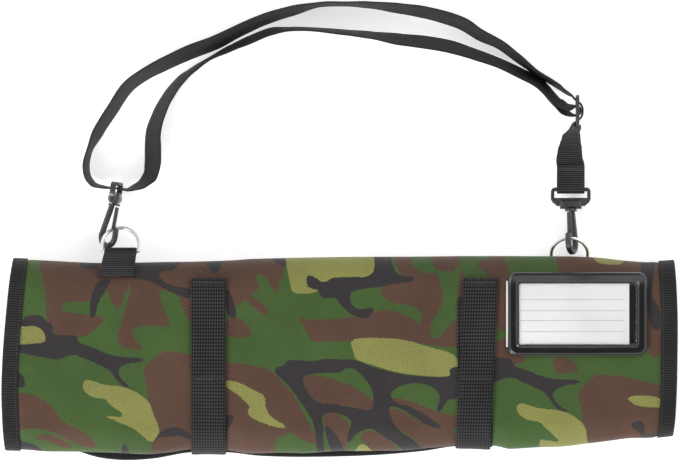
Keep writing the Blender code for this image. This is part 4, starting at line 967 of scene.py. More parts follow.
def thinned(s, at_edge, beside):
    """How much of the webbing's thickness is left at a share of its half width."""
    return 1 - at_edge * (abs(s) > 0.97) - beside * (abs(s) > 0.9)


def softened_line(places, rounds):
    """Rounds the corners of a line and keeps its two ends."""
    for _ in range(rounds):
        middle = places[1:-1] * 0.5 + (places[:-2] + places[2:]) * 0.25
        places = np.concatenate((places[:1], middle, places[-1:]))
    return places


STRIP_LAST = 0.752
STRAP_LAST = 0.80


def face_column(x, top_y, above, last):
    """The front of the cloth at one X, from a Y on the top to a turn past the fold."""
    turns = np.linspace(0.26, last, 240)
    line = cloth_face(np.array(x), turns, CLOTH / 2 + above, lean=False)
    start = np.interp(-top_y, -line[:, 1][turns < 0.7], turns[turns < 0.7])
    return cloth_face(np.array(x), np.linspace(start, last, 160), CLOTH / 2 + above, lean=False)


def build_strip(side, x, top_y):
    """A strip of loops, laid on the cloth down to the front fold."""
    grids = []
    for above in (CLEAR + LOOP_STRIP_THICK, CLEAR):
        columns = [resampled(face_column(x + s * CLOSURE_WIDTH, top_y, above, STRIP_LAST), 90)
                   for s in (-0.5, -0.25, 0, 0.25, 0.5)]
        grids.append(np.stack(columns, axis=1))
    made = lay_cloth("loop_tape_" + side, *grids)[0]
    return finished(made, closure_finish, "black_webbing", "root", "loop_strip_" + side)


def closure_column(x, above, thick_now):
    """One length of a closure strap: over the front fold, round the free edge and in under it."""
    edge, middle = (float(v) for v in taped_edge(np.array(x)))
    line = face_column(x, CLOSURE_TOP_Y, above + thick_now, STRAP_LAST)
    turned = TAPE_HALF + CLEAR + thick_now
    line = line[line[:, 2] > middle + turned + 0.001]
    out = edge - CLEAR - thick_now
    low_y = min(line[-1, 1], out)
    tail = [(min(low_y, line[-1, 1] + 0.0006), middle + turned * 0.9)]
    tail += [(out, middle + turned * share) for share in (0.45, 0.0, -0.45)]
    tail += [(edge - CLEAR - thick_now * 0.5, middle - turned * 0.84)]
    tail += [(y, middle - turned) for y in (edge + TAPE, edge + CLOSURE_UNDER / 2, edge + CLOSURE_UNDER)]
    places = np.concatenate((line, [(x, y, z) for y, z in tail]))
    return resampled(places, 200)


CLOSURE_ABOVE = 2 * CLEAR + LOOP_STRIP_THICK + CLEAR / 3


def build_closure(side, centre_at):
    """A closure strap along a centre line, and the places on its outer face."""
    middle_x = centre_at(0.0)
    grids = []
    for thick_now in (CLOSURE_THICK, 0.0):
        columns = []
        for s in EDGE_ROLL:
            thin = thick_now * thinned(s, 0.35, 0.10)
            line = closure_column(middle_x + s * CLOSURE_WIDTH / 2, CLOSURE_ABOVE, thin)
            line[:, 0] += centre_at(line[:, 1]) - middle_x
            columns.append(line)
        grids.append(np.stack(columns, axis=1))
    made = lay_cloth("closure_webbing_" + side, *grids)[0]
    finished(made, closure_finish, "black_webbing", "root", "closure_strap_" + side)
    return grids[0]


build_strip("left", CLOSURE_LEFT_X, 0.045)
build_strip("right", CLOSURE_RIGHT_X - 0.0016, 0.040)
closure_faces = {
    "left": build_closure("left", lambda y: CLOSURE_LEFT_X + 0 * y),
    "right": build_closure("right", closure_right_x),
}

# %% [markdown]
# ## Webbing tabs
# A short piece of webbing is folded through each ring and its two layers are sewn to the cloth. The
# line is worked out in the plane across the roll, once round the ring's bar, and given its width.

# %% Webbing tabs and rings
RING_WIRE = 0.0026
RING_RADIUS = 0.0132
RING_STRAIGHT = 0.0063
RING_CORNER = 0.0016
RING_LEFT_BAR = (0.0743, 0.0211)
RING_LEFT_TILT = -30.0
RING_RIGHT_BAR = (0.0669, 0.0030)
RING_RIGHT_TILT = 30.0
TAB_SPREAD_OVER = 0.018


def top_places(x, y, above):
    """Places on the top of the cloth, at a height off its face."""
    turns = np.linspace(0.2, 0.75, 500)
    found = []
    for at_x, at_y in zip(np.ravel(x), np.ravel(y)):
        line = cloth_face(np.array(at_x), turns, CLOTH / 2, lean=False)
        turn = np.interp(-at_y, -line[:, 1], turns)
        found.append(cloth_face(np.array(at_x), np.array(turn), CLOTH / 2 + above, lean=False))
    return np.array(found).reshape(*np.shape(x), 3)


def build_tab(name, x, bar, line, node, skew=0.0, spread_by=0.0):
    """Webbing along a line, once round a ring's bar, and back beside the line."""
    centre = np.array(bar)
    line = np.array(line)
    run = unit(np.gradient(line, axis=0))
    normal = np.stack((-run[:, 1], run[:, 0]), axis=1)
    start = line[-1] - centre
    first = math.atan2(start[1], start[0])
    radius = RING_WIRE / 2 + CLEAR + TAB_THICK / 2
    spread = math.asin(min(TAB_THICK / radius / 2, 1.0)) + 0.25
    angles = first - spread - (2 * math.pi - 2 * spread) * np.linspace(0, 1, 24)
    arc = centre + np.stack((np.cos(angles), np.sin(angles)), axis=1) * radius
    near, far = line + normal * TAB_THICK * 0.52, line - normal * TAB_THICK * 0.52
    path = np.concatenate((near, arc, far[::-1]))
    path = np.concatenate((np.full((len(path), 1), x), path), axis=1)
    path = softened_line(resampled(path, 150), 2)
    run = unit(np.gradient(path, axis=0))
    out = np.stack((0 * run[:, 0], -run[:, 2], run[:, 1]), axis=1) * TAB_THICK / 2 * 0.96
    grids = []
    for side in (1, -1):
        columns = []
        for s in EDGE_ROLL:
            place = path + out * (side * thinned(s, 0.4, 0.12))
            away = np.clip((bar[0] - path[:, 1]) / TAB_SPREAD_OVER, 0, 1)
            place[:, 0] += s * TAB_WIDTH / 2 * (1 + spread_by * away) + skew * away
            columns.append(place)
        grids.append(np.stack(columns, axis=1))
    finished(lay_cloth(name, *grids)[0], webbing_finish, "black_webbing", "root", node)
    return grids[0]


over = CLEAR + TAB_THICK
seam = [top_places(np.array([RING_LEFT_X]), np.array([TAB_TOP_Y + d]), over + lift)[0]
        for d, lift in ((0.0, 0.0002), (0.003, 0.0008))]
tab_line = [(p[1], p[2]) for p in seam] + [
    (0.0630, 0.0356), (0.0668, 0.0331), (0.0697, 0.0299), (0.0716, 0.0268), (0.0727, 0.0243),
]
left_tab = build_tab("ring_loop_left", RING_LEFT_X, RING_LEFT_BAR, tab_line, "ring_tab_left",
                     skew=-0.0032, spread_by=0.09)
under_line = [(TAB_UNDER_Y, TAB_THICK), (0.0600, TAB_THICK), (0.0638, TAB_THICK + 0.0003)]
build_tab("ring_loop_right", RING_RIGHT_X, RING_RIGHT_BAR, under_line, "ring_tab_right")


def build_ring(side, x, bar, tilt):
    """Wire bent to a D: a round bar swept along the outline as a curve, then made a mesh."""
    slope = math.radians(tilt)
    inset = RING_RADIUS - RING_CORNER
    flat = []
    for k in range(6):
        angle = math.pi * (1.5 - k / 10)
        flat.append((-inset + RING_CORNER * math.cos(angle), RING_CORNER + RING_CORNER * math.sin(angle)))
    for k in range(49):
        angle = math.pi * (1 - k / 48)
        flat.append((RING_RADIUS * math.cos(angle), RING_STRAIGHT + RING_RADIUS * math.sin(angle)))
    for k in range(6):
        angle = -math.pi * k / 10
        flat.append((inset + RING_CORNER * math.cos(angle), RING_CORNER + RING_CORNER * math.sin(angle)))
    bpy.ops.object.select_all(action="DESELECT")
    data = bpy.data.curves.new("ring_wire_" + side, "CURVE")
    data.dimensions = "3D"
    line = data.splines.new("POLY")
    line.points.add(len(flat) - 1)
    for point, (across, out) in zip(line.points, flat):
        point.co = (x + across, bar[0] + out * math.cos(slope), bar[1] + out * math.sin(slope), 1)
    line.use_cyclic_u = True
    data.bevel_depth = RING_WIRE / 2
    data.bevel_resolution = 4
    made = bpy.data.objects.new("ring_wire_" + side, data)
    bpy.context.scene.collection.objects.link(made)
    only(made)
    bpy.ops.object.convert(target="MESH")
    return finished(bpy.context.object, ring_finish, "ring_metal", "root", "d_ring_" + side, angle=60)


build_ring("left", RING_LEFT_X, RING_LEFT_BAR, RING_LEFT_TILT)
build_ring("right", RING_RIGHT_X, RING_RIGHT_BAR, RING_RIGHT_TILT)

# %% [markdown]
# ## Hooks and slider
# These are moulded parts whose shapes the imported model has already. A copy of each is merged, its
# flat facets joined, and its edges rounded with a bevel, because no moulded edge is sharp.

# %% Hooks and slider
def softened_copy(node, edge):
    """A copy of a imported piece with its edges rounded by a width."""
    source = frame["nodes"][node]
    made = bpy.data.objects.new(node + "_moulded", source.data.copy())
    bpy.context.scene.collection.objects.link(made)
    only(made)
    bpy.ops.object.mode_set(mode="EDIT")
    bpy.ops.mesh.select_all(action="SELECT")
    bpy.ops.mesh.remove_doubles(threshold=0.00001)
    bpy.ops.mesh.dissolve_limited(angle_limit=math.radians(2))
    bpy.ops.object.mode_set(mode="OBJECT")
    step = made.modifiers.new("round_edges", "BEVEL")
    step.width = edge
    step.segments = 3
    step.limit_method = "ANGLE"
    step.angle_limit = math.radians(32)
    bpy.ops.object.modifier_apply(modifier=step.name)
    return finished(made, hardware_finish, "black_hardware", source["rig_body"], node, angle=50)


for side in ("left", "right"):
    for part, edge in (("hook_frame_", 0.00035), ("hook_", 0.00045), ("hook_gate_", 0.00025)):
        softened_copy(part + side, edge)
softened_copy("strap_slider", 0.00035)

# %% [markdown]
# ## Card holder
# The holder is two sheets of glossy vinyl welded round the edge. The cover has a raised bead at its
# outer edge and another round the window. Each loop of the cover is a rounded rectangle, a distance in
# from the edge and a height off the cloth, so the beads are real relief that the light can catch.

# %% Card holder
HOLDER_SIZE = (0.1002, 0.0600)
HOLDER_CENTRE = (0.1712, 0.0293)
HOLDER_CORNER = 0.0062
HOLDER_LIFT = 0.0005
HOLDER_BACK = 0.0006
WINDOW_SIZE = (0.0837, 0.0436)
CARD_SIZE = (0.0885, 0.0475)
CARD_OUT = 0.0012
CARD_THICK = 0.0004
COVER_LOW = HOLDER_LIFT + HOLDER_BACK + CARD_THICK + 2.6 * CLEAR
BACK_INNER = (0.088, 0.048)
BACK_CORNER = 0.003
FLOOR_HALF = (0.0436, 0.0236)
FILM_HALF = (0.0417, 0.0217)
FILM_THICK = 0.00015
SKIN = 0.00005
SLOT_HEIGHT = 0.00205
COVER_LOOPS = (
    # in from the edge, height off the cloth, both in mm
    (0.30, 1.15), (0.00, 1.45), (0.00, 2.60), (0.22, 3.05), (0.62, 3.26), (1.05, 3.22), (1.42, 3.00),
    (1.75, 2.74), (2.30, 2.66), (3.60, 2.70), (5.30, 2.68), (6.10, 2.74), (6.45, 2.98), (6.85, 3.18),
    (7.30, 3.20), (7.72, 3.02), (8.02, 2.72), (8.15, 2.45), (8.15, 2.20), (7.60, 2.12), (5.0, 2.12),
    (2.6, 2.12), (1.4, 1.75), (0.9, 1.15),
)


def rectangle_loop(size, corner, count=26):
    """Points round a rectangle with round corners, with the same number on each side."""
    w, h = size[0] / 2 - corner, size[1] / 2 - corner
    found = []
    for k, (cx, cy) in enumerate(((w, h), (-w, h), (-w, -h), (w, -h))):
        for step in range(9):
            angle = math.pi / 2 * (k + step / 8)
            found.append((cx + corner * math.cos(angle), cy + corner * math.sin(angle)))
        nx, ny = ((-w, h), (-w, -h), (w, -h), (w, h))[k]
        end_angle = math.pi / 2 * (k + 1)
        start = np.array(found[-1])
        stop = np.array((nx + corner * math.cos(end_angle), ny + corner * math.sin(end_angle)))
        for step in range(1, count):
            found.append(tuple(start + (stop - start) * step / count))
    return np.array(found)


surface_x = np.linspace(0.112, 0.230, 60)
surface_y = np.linspace(-0.012, 0.070, 84)
grid_x, grid_y = np.meshgrid(surface_x, surface_y)
surface_z = top_places(grid_x, grid_y, 0.0)[:, :, 2]


def on_cloth(x, y, above):
    """A height off the cloth under the holder, from a table of its face."""
    i = np.clip((x - surface_x[0]) / (surface_x[1] - surface_x[0]), 0, len(surface_x) - 1.001)
    j = np.clip((y - surface_y[0]) / (surface_y[1] - surface_y[0]), 0, len(surface_y) - 1.001)
    i0, j0 = i.astype(int), j.astype(int)
    fi, fj = i - i0, j - j0
    z = (
        surface_z[j0, i0] * (1 - fi) * (1 - fj) + surface_z[j0, i0 + 1] * fi * (1 - fj)
        + surface_z[j0 + 1, i0] * (1 - fi) * fj + surface_z[j0 + 1, i0 + 1] * fi * fj
    )
    return np.stack((x, y, z + above), axis=-1)


def ring_piece(name, loops):
    """Bridges a list of closed loops into one closed ring."""
    count = len(loops[0])
    faces = []
    for k in range(len(loops)):
        for i in range(count):
            a, b = k * count, ((k + 1) % len(loops)) * count
            faces.append((a + i, a + (i + 1) % count, b + (i + 1) % count, b + i))
    return from_points(name, np.concatenate(loops), faces)


def less(inset):
    """The holder's size, less an inset in millimetres on every side."""
    return HOLDER_SIZE[0] - inset * 0.002, HOLDER_SIZE[1] - inset * 0.002


def laid_loop(flat, high):
    """A flat loop about the holder's middle, laid at a height off the cloth."""
    return on_cloth(flat[:, 0] + HOLDER_CENTRE[0], flat[:, 1] + HOLDER_CENTRE[1], high)


loops = []
for inset, high in COVER_LOOPS:
    flat = rectangle_loop(less(inset), max(HOLDER_CORNER - inset * 0.00065, 0.0012))
    heights_now = np.full(len(flat), high / 1000)
    # The card's slot is open at the left side, so the cover stands off there.
    in_slot = (flat[:, 0] < -HOLDER_SIZE[0] / 2 + 0.004) & (np.abs(flat[:, 1]) < CARD_SIZE[1] / 2 + 0.0006)
    heights_now[in_slot] = np.maximum(heights_now[in_slot], SLOT_HEIGHT)
    loops.append(laid_loop(flat, heights_now))
cover = ring_piece("holder_cover", loops)
finished(cover, vinyl_finish, "black_vinyl", "root", "card_holder", angle=60)

loops = [laid_loop(rectangle_loop(less(inset), HOLDER_CORNER), high / 1000)
         for inset, high in ((0.25, 0.5), (0.0, 0.7), (0.0, 0.9), (0.25, 1.1))]
loops += [laid_loop(rectangle_loop(BACK_INNER, BACK_CORNER), high / 1000) for high in (1.1, 0.5)]
backing = ring_piece("holder_backing", loops)
finished(backing, vinyl_finish, "black_vinyl", "root")


def flat_grid(name, x_ends, y_ends, low, high, columns=90, rows=50, crumple=None):
    """A thin sheet laid on the cloth between two heights, flat or crumpled."""
    x, y = np.meshgrid(np.linspace(*x_ends, columns), np.linspace(*y_ends, rows))
    shift = crumple(x, y) if crumple else 0.0
    return lay_cloth(name, on_cloth(x, y, high + shift), on_cloth(x, y, low + shift))[0]


def about(k, half):
    """The two ends of a side that has its middle at the holder's."""
    return HOLDER_CENTRE[k] - half, HOLDER_CENTRE[k] + half


card_left = HOLDER_CENTRE[0] - HOLDER_SIZE[0] / 2 - CARD_OUT
card_low = HOLDER_LIFT + HOLDER_BACK + CLEAR
card = flat_grid("paper_card", (card_left, card_left + CARD_SIZE[0]), about(1, CARD_SIZE[1] / 2),
                 card_low, card_low + CARD_THICK)
under_card = flat_grid("holder_floor", about(0, FLOOR_HALF[0]), about(1, FLOOR_HALF[1]),
                       HOLDER_LIFT + SKIN, HOLDER_LIFT + HOLDER_BACK - SKIN, 40, 24)
finished(under_card, vinyl_finish, "black_vinyl", "root")


def crumpled(x, y):
    """The film is slack and folded where the card ends, near the window's right side."""
    right = HOLDER_CENTRE[0] + WINDOW_SIZE[0] / 2
    near = ease(right - 0.0075, right - 0.0030, x) * (1 - ease(right - 0.0012, right, x))
    folds = np.sin(2 * math.pi * (x / 0.0036 + 0.08 * np.sin(y * 70)))
    return 0.00010 * near * folds + 0.00002 * np.sin(x * 310) * np.sin(y * 240)


film = flat_grid("window_film", about(0, FILM_HALF[0]), about(1, FILM_HALF[1]),
                 COVER_LOW + SKIN, COVER_LOW + SKIN + FILM_THICK, 180, 40, crumpled)
finished(film, film_finish, "clear_film", "root", "card_window", angle=120)

# %% [markdown]
# ## The card's finish
# White card is a little uneven in shade. Four thin grey lines are ruled on it for writing, and
# nothing else.
# Their places are compared with the object's own coordinates, so the lines stay on the card.

# %% Finish of the card
LINE_FROM = 0.1305
LINE_TO = 0.2050
LINE_ROWS = (0.0396, 0.0316, 0.0246, 0.0166)
LINE_HALF = 0.00022
LINE_GREY = (0.25, 0.25, 0.27, 1)
CARD_WHITE = (0.86, 0.85, 0.845)
card_finish, tree, shader = new_finish("white_card_ruled", CARD_WHITE, 0.55, specular=0.3)
split = tree.nodes.new("ShaderNodeSeparateXYZ")
tree.links.new(add_node(tree, "ShaderNodeTexCoord", output=3), split.inputs[0])
inside = math_node(tree, "MULTIPLY", math_node(tree, "GREATER_THAN", split.outputs[0], LINE_FROM),
                   math_node(tree, "LESS_THAN", split.outputs[0], LINE_TO))
lines = 0.0
for row_y in LINE_ROWS:
    away = math_node(tree, "ABSOLUTE", math_node(tree, "SUBTRACT", split.outputs[1], row_y))
    lines = math_node(tree, "ADD", math_node(tree, "LESS_THAN", away, LINE_HALF), lines)
lines = math_node(tree, "MULTIPLY", lines, inside, clamp=True)
lines = math_node(tree, "MULTIPLY", lines, 0.62)
worn = use_group(tree, wear, Patch_Size=0.03, Low=0.95, High=1.02)
paper = shaded(tree, (*CARD_WHITE, 1), worn["Shade"])
tree.links.new(mix_colours(tree, lines, paper, LINE_GREY), shader.inputs["Base Color"])
finished(card, card_finish, "white_card", "root", "card")

# %% [markdown]
# ## Shoulder strap
# One 20 mm webbing strap, threaded through the slider and the left hook's frame and sewn round the
# right frame. It stands on its edge for most of its way and twists flat at its right end. The tables
# give its route: how far across between the rings, how far out beyond the roll, and how far it leans.

# %% Route of the shoulder strap
STRAP_WIDTH = 0.020
STRAP_THICK = 0.0013
STRAP_REACH = 0.1835
FRAME_LENGTH = 0.0154
FRAME_THICK = 0.0040
FRAME_BAR = 0.0027
SLIDER_LENGTH = 0.0228
TWIST_RUN = (
    # across, out, lean, lift
    (1.0000, 0.3766, -74, 0.0020), (1.0006, 0.4158, -60, 0.0016), (1.0018, 0.4539, -45, 0.0014),
    (1.0034, 0.4800, -31, 0.0022),
)
OUTER_RUN = (
    # across, out, lean, lift
    (0.9821, 0.6587, 8, 0.001), (0.9554, 0.6890, 9, 0), (0.9287, 0.7176, 9, 0),
    (0.8798, 0.7843, 16, 0), (0.8442, 0.8314, 18, 0), (0.7997, 0.8698, 23, 0),
    (0.7663, 0.9087, 26, 0), (0.7330, 0.9318, 26, 0), (0.6774, 0.9577, 24, 0),
    (0.6217, 0.9730, 20, 0), (0.5550, 0.9868, 12, 0), (0.4994, 0.9907, 7, 0),
    (0.4438, 0.9883, 8, 0), (0.3771, 0.9617, 20, 0), (0.3215, 0.9314, 23, 0),
    (0.2659, 0.8883, 25, 0), (0.2103, 0.8392, 29, 0), (0.1546, 0.8020, 30, 0),
    (0.0990, 0.7568, 28, 0), (0.0546, 0.7156, 25, 0), (0.0145, 0.6627, 25, 0),
    (-0.0188, 0.5763, 24, 0), (-0.0500, 0.4900, 22, 0), (-0.0700, 0.4155, 10, 0),
    (-0.0778, 0.3527, 12, 0), (-0.0722, 0.3056, 12, 0.0006), (-0.0589, 0.2801, 9, 0.0018),
    (-0.0366, 0.2695, 4, 0.0042),
)
INNER_RUN = (
    # across, out, lean, lift
    (0.0179, 0.2601, 5, 0.0042), (0.0445, 0.2781, 18, 0.0012), (0.0646, 0.3135, 31, 0),
    (0.0708, 0.3645, 36, 0), (0.0712, 0.4233, 36, 0), (0.0724, 0.4861, 33, 0),
    (0.0846, 0.5567, 28, 0), (0.1035, 0.6234, 23, 0), (0.1324, 0.6901, 18, 0),
    (0.1591, 0.7294, 11, 0), (0.1969, 0.7745, 6, 0), (0.2436, 0.8157, 13, 0),
    (0.2881, 0.8502, 17, 0), (0.3326, 0.8816, 16, 0), (0.3771, 0.8918, 8, 0),
    (0.4216, 0.8914, 7, 0), (0.4994, 0.8789, 11, 0), (0.5550, 0.8687, 15, 0),
    (0.6217, 0.8514, 25, 0), (0.6774, 0.8404, 28, 0), (0.7330, 0.8231, 28, 0),
    (0.7886, 0.7925, 24, 0), (0.8442, 0.7572, 21, 0), (0.8887, 0.7200, 22, 0),
    (0.9331, 0.6774, 22, 0), (0.9630, 0.6213, 20, 0.0018),
)
SLIDER_MAIN = (
    # along half the slider, off its plane in thicknesses of webbing
    (1.02, -1.95), (0.86, -1.85), (0.71, -0.60), (0.56, 0.80), (0.38, 2.20),
    (0.18, 2.80), (0.0, 2.90), (-0.18, 2.80), (-0.38, 2.10), (-0.54, 0.80), (-0.65, -0.40),
    (-0.75, -1.55), (-0.85, -2.25), (-0.97, -3.00), (-1.07, -4.15),
)
SLIDER_LOOP = (
    # along half the slider, off its plane in thicknesses of webbing
    (-0.30, -9.50), (-0.05, -7.80), (0.16, -5.20), (0.272, -2.60), (0.268, 0.0), (0.20, 1.38),
    (0.08, 1.62), (-0.08, 1.62), (-0.205, 1.32), (-0.285, 0.0), (-0.29, -1.80), (-0.235, -3.80),
    (-0.235, -6.00), (-0.38, -8.10), (-0.55, -10.0),
)
MAIN_LEAN = (-17, -8, -3) + (0,) * (len(SLIDER_MAIN) - 3)
LOOP_LEAN = (20, 18, 12, 5, 0, 0, 0, 0, 0, 0, -5, -12, -16, -18, -18)
SLIDER_AT = (1.0173, 0.5700, 0.0148)
LEFT_SLOT_AT = (-0.0098, 0.2660, 0.0150)
RIGHT_FOOT_AT = (1.0028, 0.1853, 0.0098)
RIGHT_AXIS = Vector((0.0, 0.985, -0.12))
ROUTE_STEP = 0.0022
UP = Vector((0, 0, 1))


def strap_place(across, out, z):
    """A place from its shares of the way between the rings and of the strap's reach."""
    x = RING_LEFT_X + (RING_RIGHT_X - RING_LEFT_X) * across
    return Vector((x, ROLL_DEPTH / 2 + STRAP_REACH * out, z))


def run_places(rows):
    """The middle of webbing that stands on its lower edge, at each row of a table."""
    places = []
    for across, out, lean, lift in rows:
        tip = abs(math.radians(lean))
        height = STRAP_WIDTH / 2 * math.cos(tip) + STRAP_THICK / 2 * math.sin(tip) + CLEAR / 2
        places.append(strap_place(across, out, height + lift))
    return places


def edge_directions(places, leans, before, after):
    """The direction of the webbing's upper edge at each place."""
    found = []
    line = [before] + places + [after]
    for k, lean_now in enumerate(leans):
        run = line[k + 2] - line[k]
        run.z = 0
        run.normalize()
        lean = math.radians(lean_now)
        found.append(UP * math.cos(lean) - Vector((-run.y, run.x, 0)) * math.sin(lean))
    return found


def right_frame_matrix():
    """Where the right hook's frame stands, with its outer bar along +Y of its own axes."""
    v = RIGHT_AXIS.normalized()
    u = v.cross(UP).normalized()
    turned = Matrix((u, v, u.cross(v))).transposed().to_4x4()
    return Matrix.Translation(strap_place(*RIGHT_FOOT_AT)) @ turned


def slider_matrix():
    """Where the slider stands on its side edge."""
    s = Vector((0.0, -1.0, 0.0))
    turned = Matrix((s, -UP, UP.cross(s))).transposed().to_4x4()
    return Matrix.Translation(strap_place(*SLIDER_AT)) @ turned


def sewn_end(matrix):
    """Over the right frame's outer bar and back under it."""
    bar = FRAME_LENGTH - FRAME_BAR / 2
    reach = FRAME_THICK / 2 + CLEAR + STRAP_THICK / 2
    side = FRAME_BAR / 2 + CLEAR + STRAP_THICK / 2
    sewn, lead = STRAP_THICK + 2 * CLEAR, 0.0004
    flat = [
        (bar + 0.0172, lead + sewn), (bar + 0.0110, lead + sewn), (bar + 0.0050, reach - 0.0001),
        (bar + 0.0010, reach), (bar - side * 0.48, reach), (bar - side * 0.84, reach * 0.84),
        (bar - side, reach * 0.52), (bar - side, -reach * 0.52), (bar - side * 0.84, -reach * 0.84),
        (bar - side * 0.48, -reach), (bar + 0.0010, -reach), (bar + 0.0045, -reach * 0.66),
        (bar + 0.0105, lead), (bar + 0.0172, lead),
    ]
    across = (matrix.to_3x3() @ Vector((-1, 0, 0))).normalized()
    return [matrix @ Vector((0, v, n)) for v, n in flat], [across] * len(flat)


def through_slider(rows):
    matrix = slider_matrix()
    return [matrix @ Vector((s * SLIDER_LENGTH / 2, 0, n * STRAP_THICK)) for s, n in rows]


def leans_of(rows):
    return [row[2] for row in rows]


def smooth_route(places, widths, step):
    """A smooth curve through the places, with the widths turned along it."""
    line, turned = [], []
    last = len(places) - 1
    for k in range(last):
        p0, p1, p2, p3 = places[max(k - 1, 0)], places[k], places[k + 1], places[min(k + 2, last)]
        long = (p2 - p1).length
        d0 = max((p1 - p0).length, 1e-6) ** 0.5
        d1 = max(long, 1e-6) ** 0.5
        d2 = max((p3 - p2).length, 1e-6) ** 0.5
        m1, m2 = p2 - p1, p2 - p1
        if k > 0:
            m1 = m1 + d1 * ((p1 - p0) / d0 - (p2 - p0) / (d0 + d1))
        if k < last - 1:
            m2 = m2 + d1 * ((p3 - p2) / d2 - (p3 - p1) / (d1 + d2))
        pieces = max(1, math.ceil(long / step))
        for i in range(pieces):
            t = i / pieces
            line.append(hermite(p1, m1, p2, m2, t))
            turned.append(widths[k].lerp(widths[k + 1], t * t * (3 - 2 * t)).normalized())
    return line + [places[-1]], turned + [widths[-1]]


sewn, sewn_widths = sewn_end(right_frame_matrix())
main_part, loop_part = through_slider(SLIDER_MAIN), through_slider(SLIDER_LOOP)
after_loop = loop_part[-1] * 2 - loop_part[-2]
left_slot = [strap_place(*LEFT_SLOT_AT)]
twist, outer, inner = (run_places(rows) for rows in (TWIST_RUN, OUTER_RUN, INNER_RUN))
route = sewn + twist + main_part + outer + left_slot + inner + loop_part
route_widths = (
    sewn_widths
    + edge_directions(twist, leans_of(TWIST_RUN), sewn[-1], main_part[0])
    + edge_directions(main_part, MAIN_LEAN, twist[-1], outer[0])
    + edge_directions(outer, leans_of(OUTER_RUN), main_part[-1], left_slot[0])
    + [UP]
    + edge_directions(inner, leans_of(INNER_RUN), left_slot[0], loop_part[0])
    + edge_directions(loop_part, LOOP_LEAN, inner[-1], after_loop)
)
strap_line, strap_up = smooth_route(route, route_widths, ROUTE_STEP)

# %% The shoulder strap
def build_ribbon(name, line, ups, width, thick_now):
    """Webbing swept along a line, with its upper edge in given directions."""
    middle = np.array([tuple(p) for p in line])
    up = np.array([tuple(w) for w in ups])
    run = np.empty_like(middle)
    run[1:-1] = middle[2:] - middle[:-2]
    run[0], run[-1] = middle[1] - middle[0], middle[-1] - middle[-2]
    run = unit(run)
    across = unit(up - run * np.sum(up * run, axis=1)[:, None])
    face = np.cross(run, across)
    grids = []
    for side in (1, -1):
        columns = []
        for s in EDGE_ROLL:
            thin = side * thinned(s, 0.45, 0.12)
            columns.append(middle + across * s * width / 2 + face * thin * thick_now / 2)
        grids.append(np.stack(columns, axis=1))
    return lay_cloth(name, *grids)[0]


strap = build_ribbon("shoulder_webbing", strap_line, strap_up, STRAP_WIDTH, STRAP_THICK)
finished(strap, webbing_finish, "black_webbing", "root", "shoulder_strap")

# %% [markdown]
# ## Stitches
# One stitch is a small sphere primitive, stretched along the thread. It is copied to every place in a
# row, half sunk in the cloth, and a row is one mesh. Tapes have a straight row along their inner edge,
# and each strap's end has a zigzag across it.

# %% Stitches
STITCH_LONG = 0.0026
STITCH_THICK = 0.00055
THREAD_OVER = 0.0001
ZIGZAG_INSET = 0.0012
bpy.ops.object.select_all(action="DESELECT")
bpy.ops.mesh.primitive_uv_sphere_add(segments=6, ring_count=5, radius=0.5)
stitch = bpy.context.object
stitch_points = np.array([tuple(v.co) for v in stitch.data.vertices])
stitch_faces = [tuple(p.vertices) for p in stitch.data.polygons]
bpy.data.objects.remove(stitch)


def sew(name, starts, ends, normals):
    """A row of stitches from one list of places to another."""
    vertices, faces = [], []
    for a, b, n in zip(starts, ends, normals):
        run = b - a
        long = np.linalg.norm(run)
        run = run / long
        n = n - run * np.dot(n, run)
        n = n / np.linalg.norm(n)
        side = np.cross(run, n)
        basis = np.stack((side * STITCH_THICK, n * STITCH_THICK * 0.8, run * long))
        offset = len(vertices)
        vertices.extend(stitch_points @ basis + (a + b) / 2)
        faces.extend(tuple(offset + i for i in face) for face in stitch_faces)
    made = from_points(name, vertices, faces)
    kept = made.data.attributes.new("woven", "FLOAT_VECTOR", "POINT")
    kept.data.foreach_set("vector", np.array(vertices, np.float32).ravel())
    return finished(made, thread_finish, "black_webbing", "root", angle=80)


def row_of_stitches(line, normal, gap=0.0008):
    """Cuts a line of places into stitches with gaps between them."""
    run = run_of(line)
    starts_at = np.arange(0, run[-1] - STITCH_LONG, STITCH_LONG + gap)
    starts, ends = (read_at(starts_at + d, run, line) for d in (0, STITCH_LONG))
    return starts, ends, read_at(starts_at, run, normal)


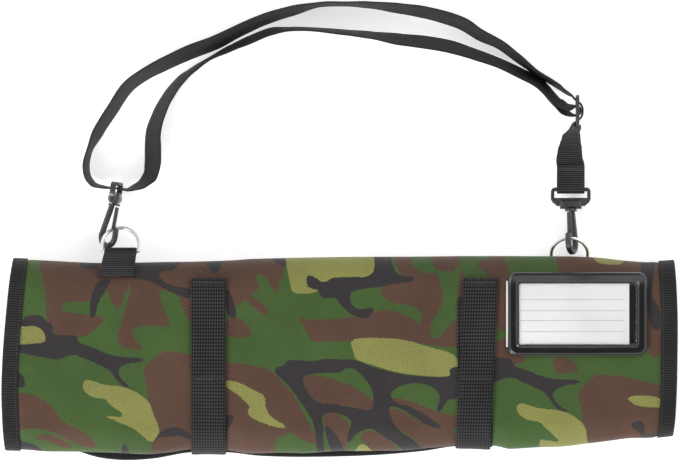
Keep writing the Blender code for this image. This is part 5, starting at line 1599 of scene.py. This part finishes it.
sewing_turns = np.linspace(0.16, 0.90, 400)
for side_name, end in (("left", -1), ("right", 1)):
    x = np.array(end * (ROLL_LENGTH / 2 - TAPE_WIDTH + 0.0016))
    line = cloth_face(x, sewing_turns, TAPE_HALF + 0.00005)
    facing = line - cloth_face(x, sewing_turns, 0.0)
    sew("stitches_end_" + side_name, *row_of_stitches(line, facing))


def zigzag(name, face, first, last, steps):
    """A zigzag across a strap, between two of its rows."""
    shares = (np.array(EDGE_ROLL) + 1) / 2
    margin = ZIGZAG_INSET / CLOSURE_WIDTH
    starts, ends, normals = [], [], []
    along = face[last, 4] - face[first, 4]
    across = face[first, -1] - face[first, 0]
    out = np.cross(across, along)
    out = out / np.linalg.norm(out)
    out = out if out[2] > 0 else -out
    for k in range(steps):
        a, b = (first, last) if k % 2 == 0 else (last, first)
        for found, row_now, step in ((starts, a, k), (ends, b, k + 1)):
            share = margin + step / steps * (1 - 2 * margin)
            found.append(read_at(share, shares, face[row_now]) + out * THREAD_OVER)
        normals.append(out)
    return sew(name, starts, ends, normals)


def row_near(face, y):
    """The row of a strap's face that crosses a Y on the front."""
    return int(np.argmin(np.abs(face[:120, 4, 1] - y)))


for side_name, face in closure_faces.items():
    for place_name, first_y, last_y in (("low", -0.0155, -0.0190), ("top", 0.0535, 0.0505)):
        name = "zigzag_" + place_name + "_" + side_name
        zigzag(name, face, row_near(face, first_y), row_near(face, last_y), 22)
zigzag("zigzag_tab_left", left_tab, 2, 8, 20)

steps = 24
frame_place = right_frame_matrix()
sewn_top = STRAP_THICK * 1.5 + 2 * CLEAR + 0.0005
sewn_wide = 0.0172
corners = []
for k in range(steps + 1):
    v = FRAME_LENGTH - FRAME_BAR / 2 + (0.0130 if k % 2 else 0.0158)
    corners.append(np.array(frame_place @ Vector(((k / steps - 0.5) * sewn_wide, v, sewn_top))))
up_now = [np.array((0.0, 0.0, 1.0))] * steps
sew("zigzag_strap_end", corners[:-1], corners[1:], up_now)
print("sewn rows done")

# %% The end
only(floor)
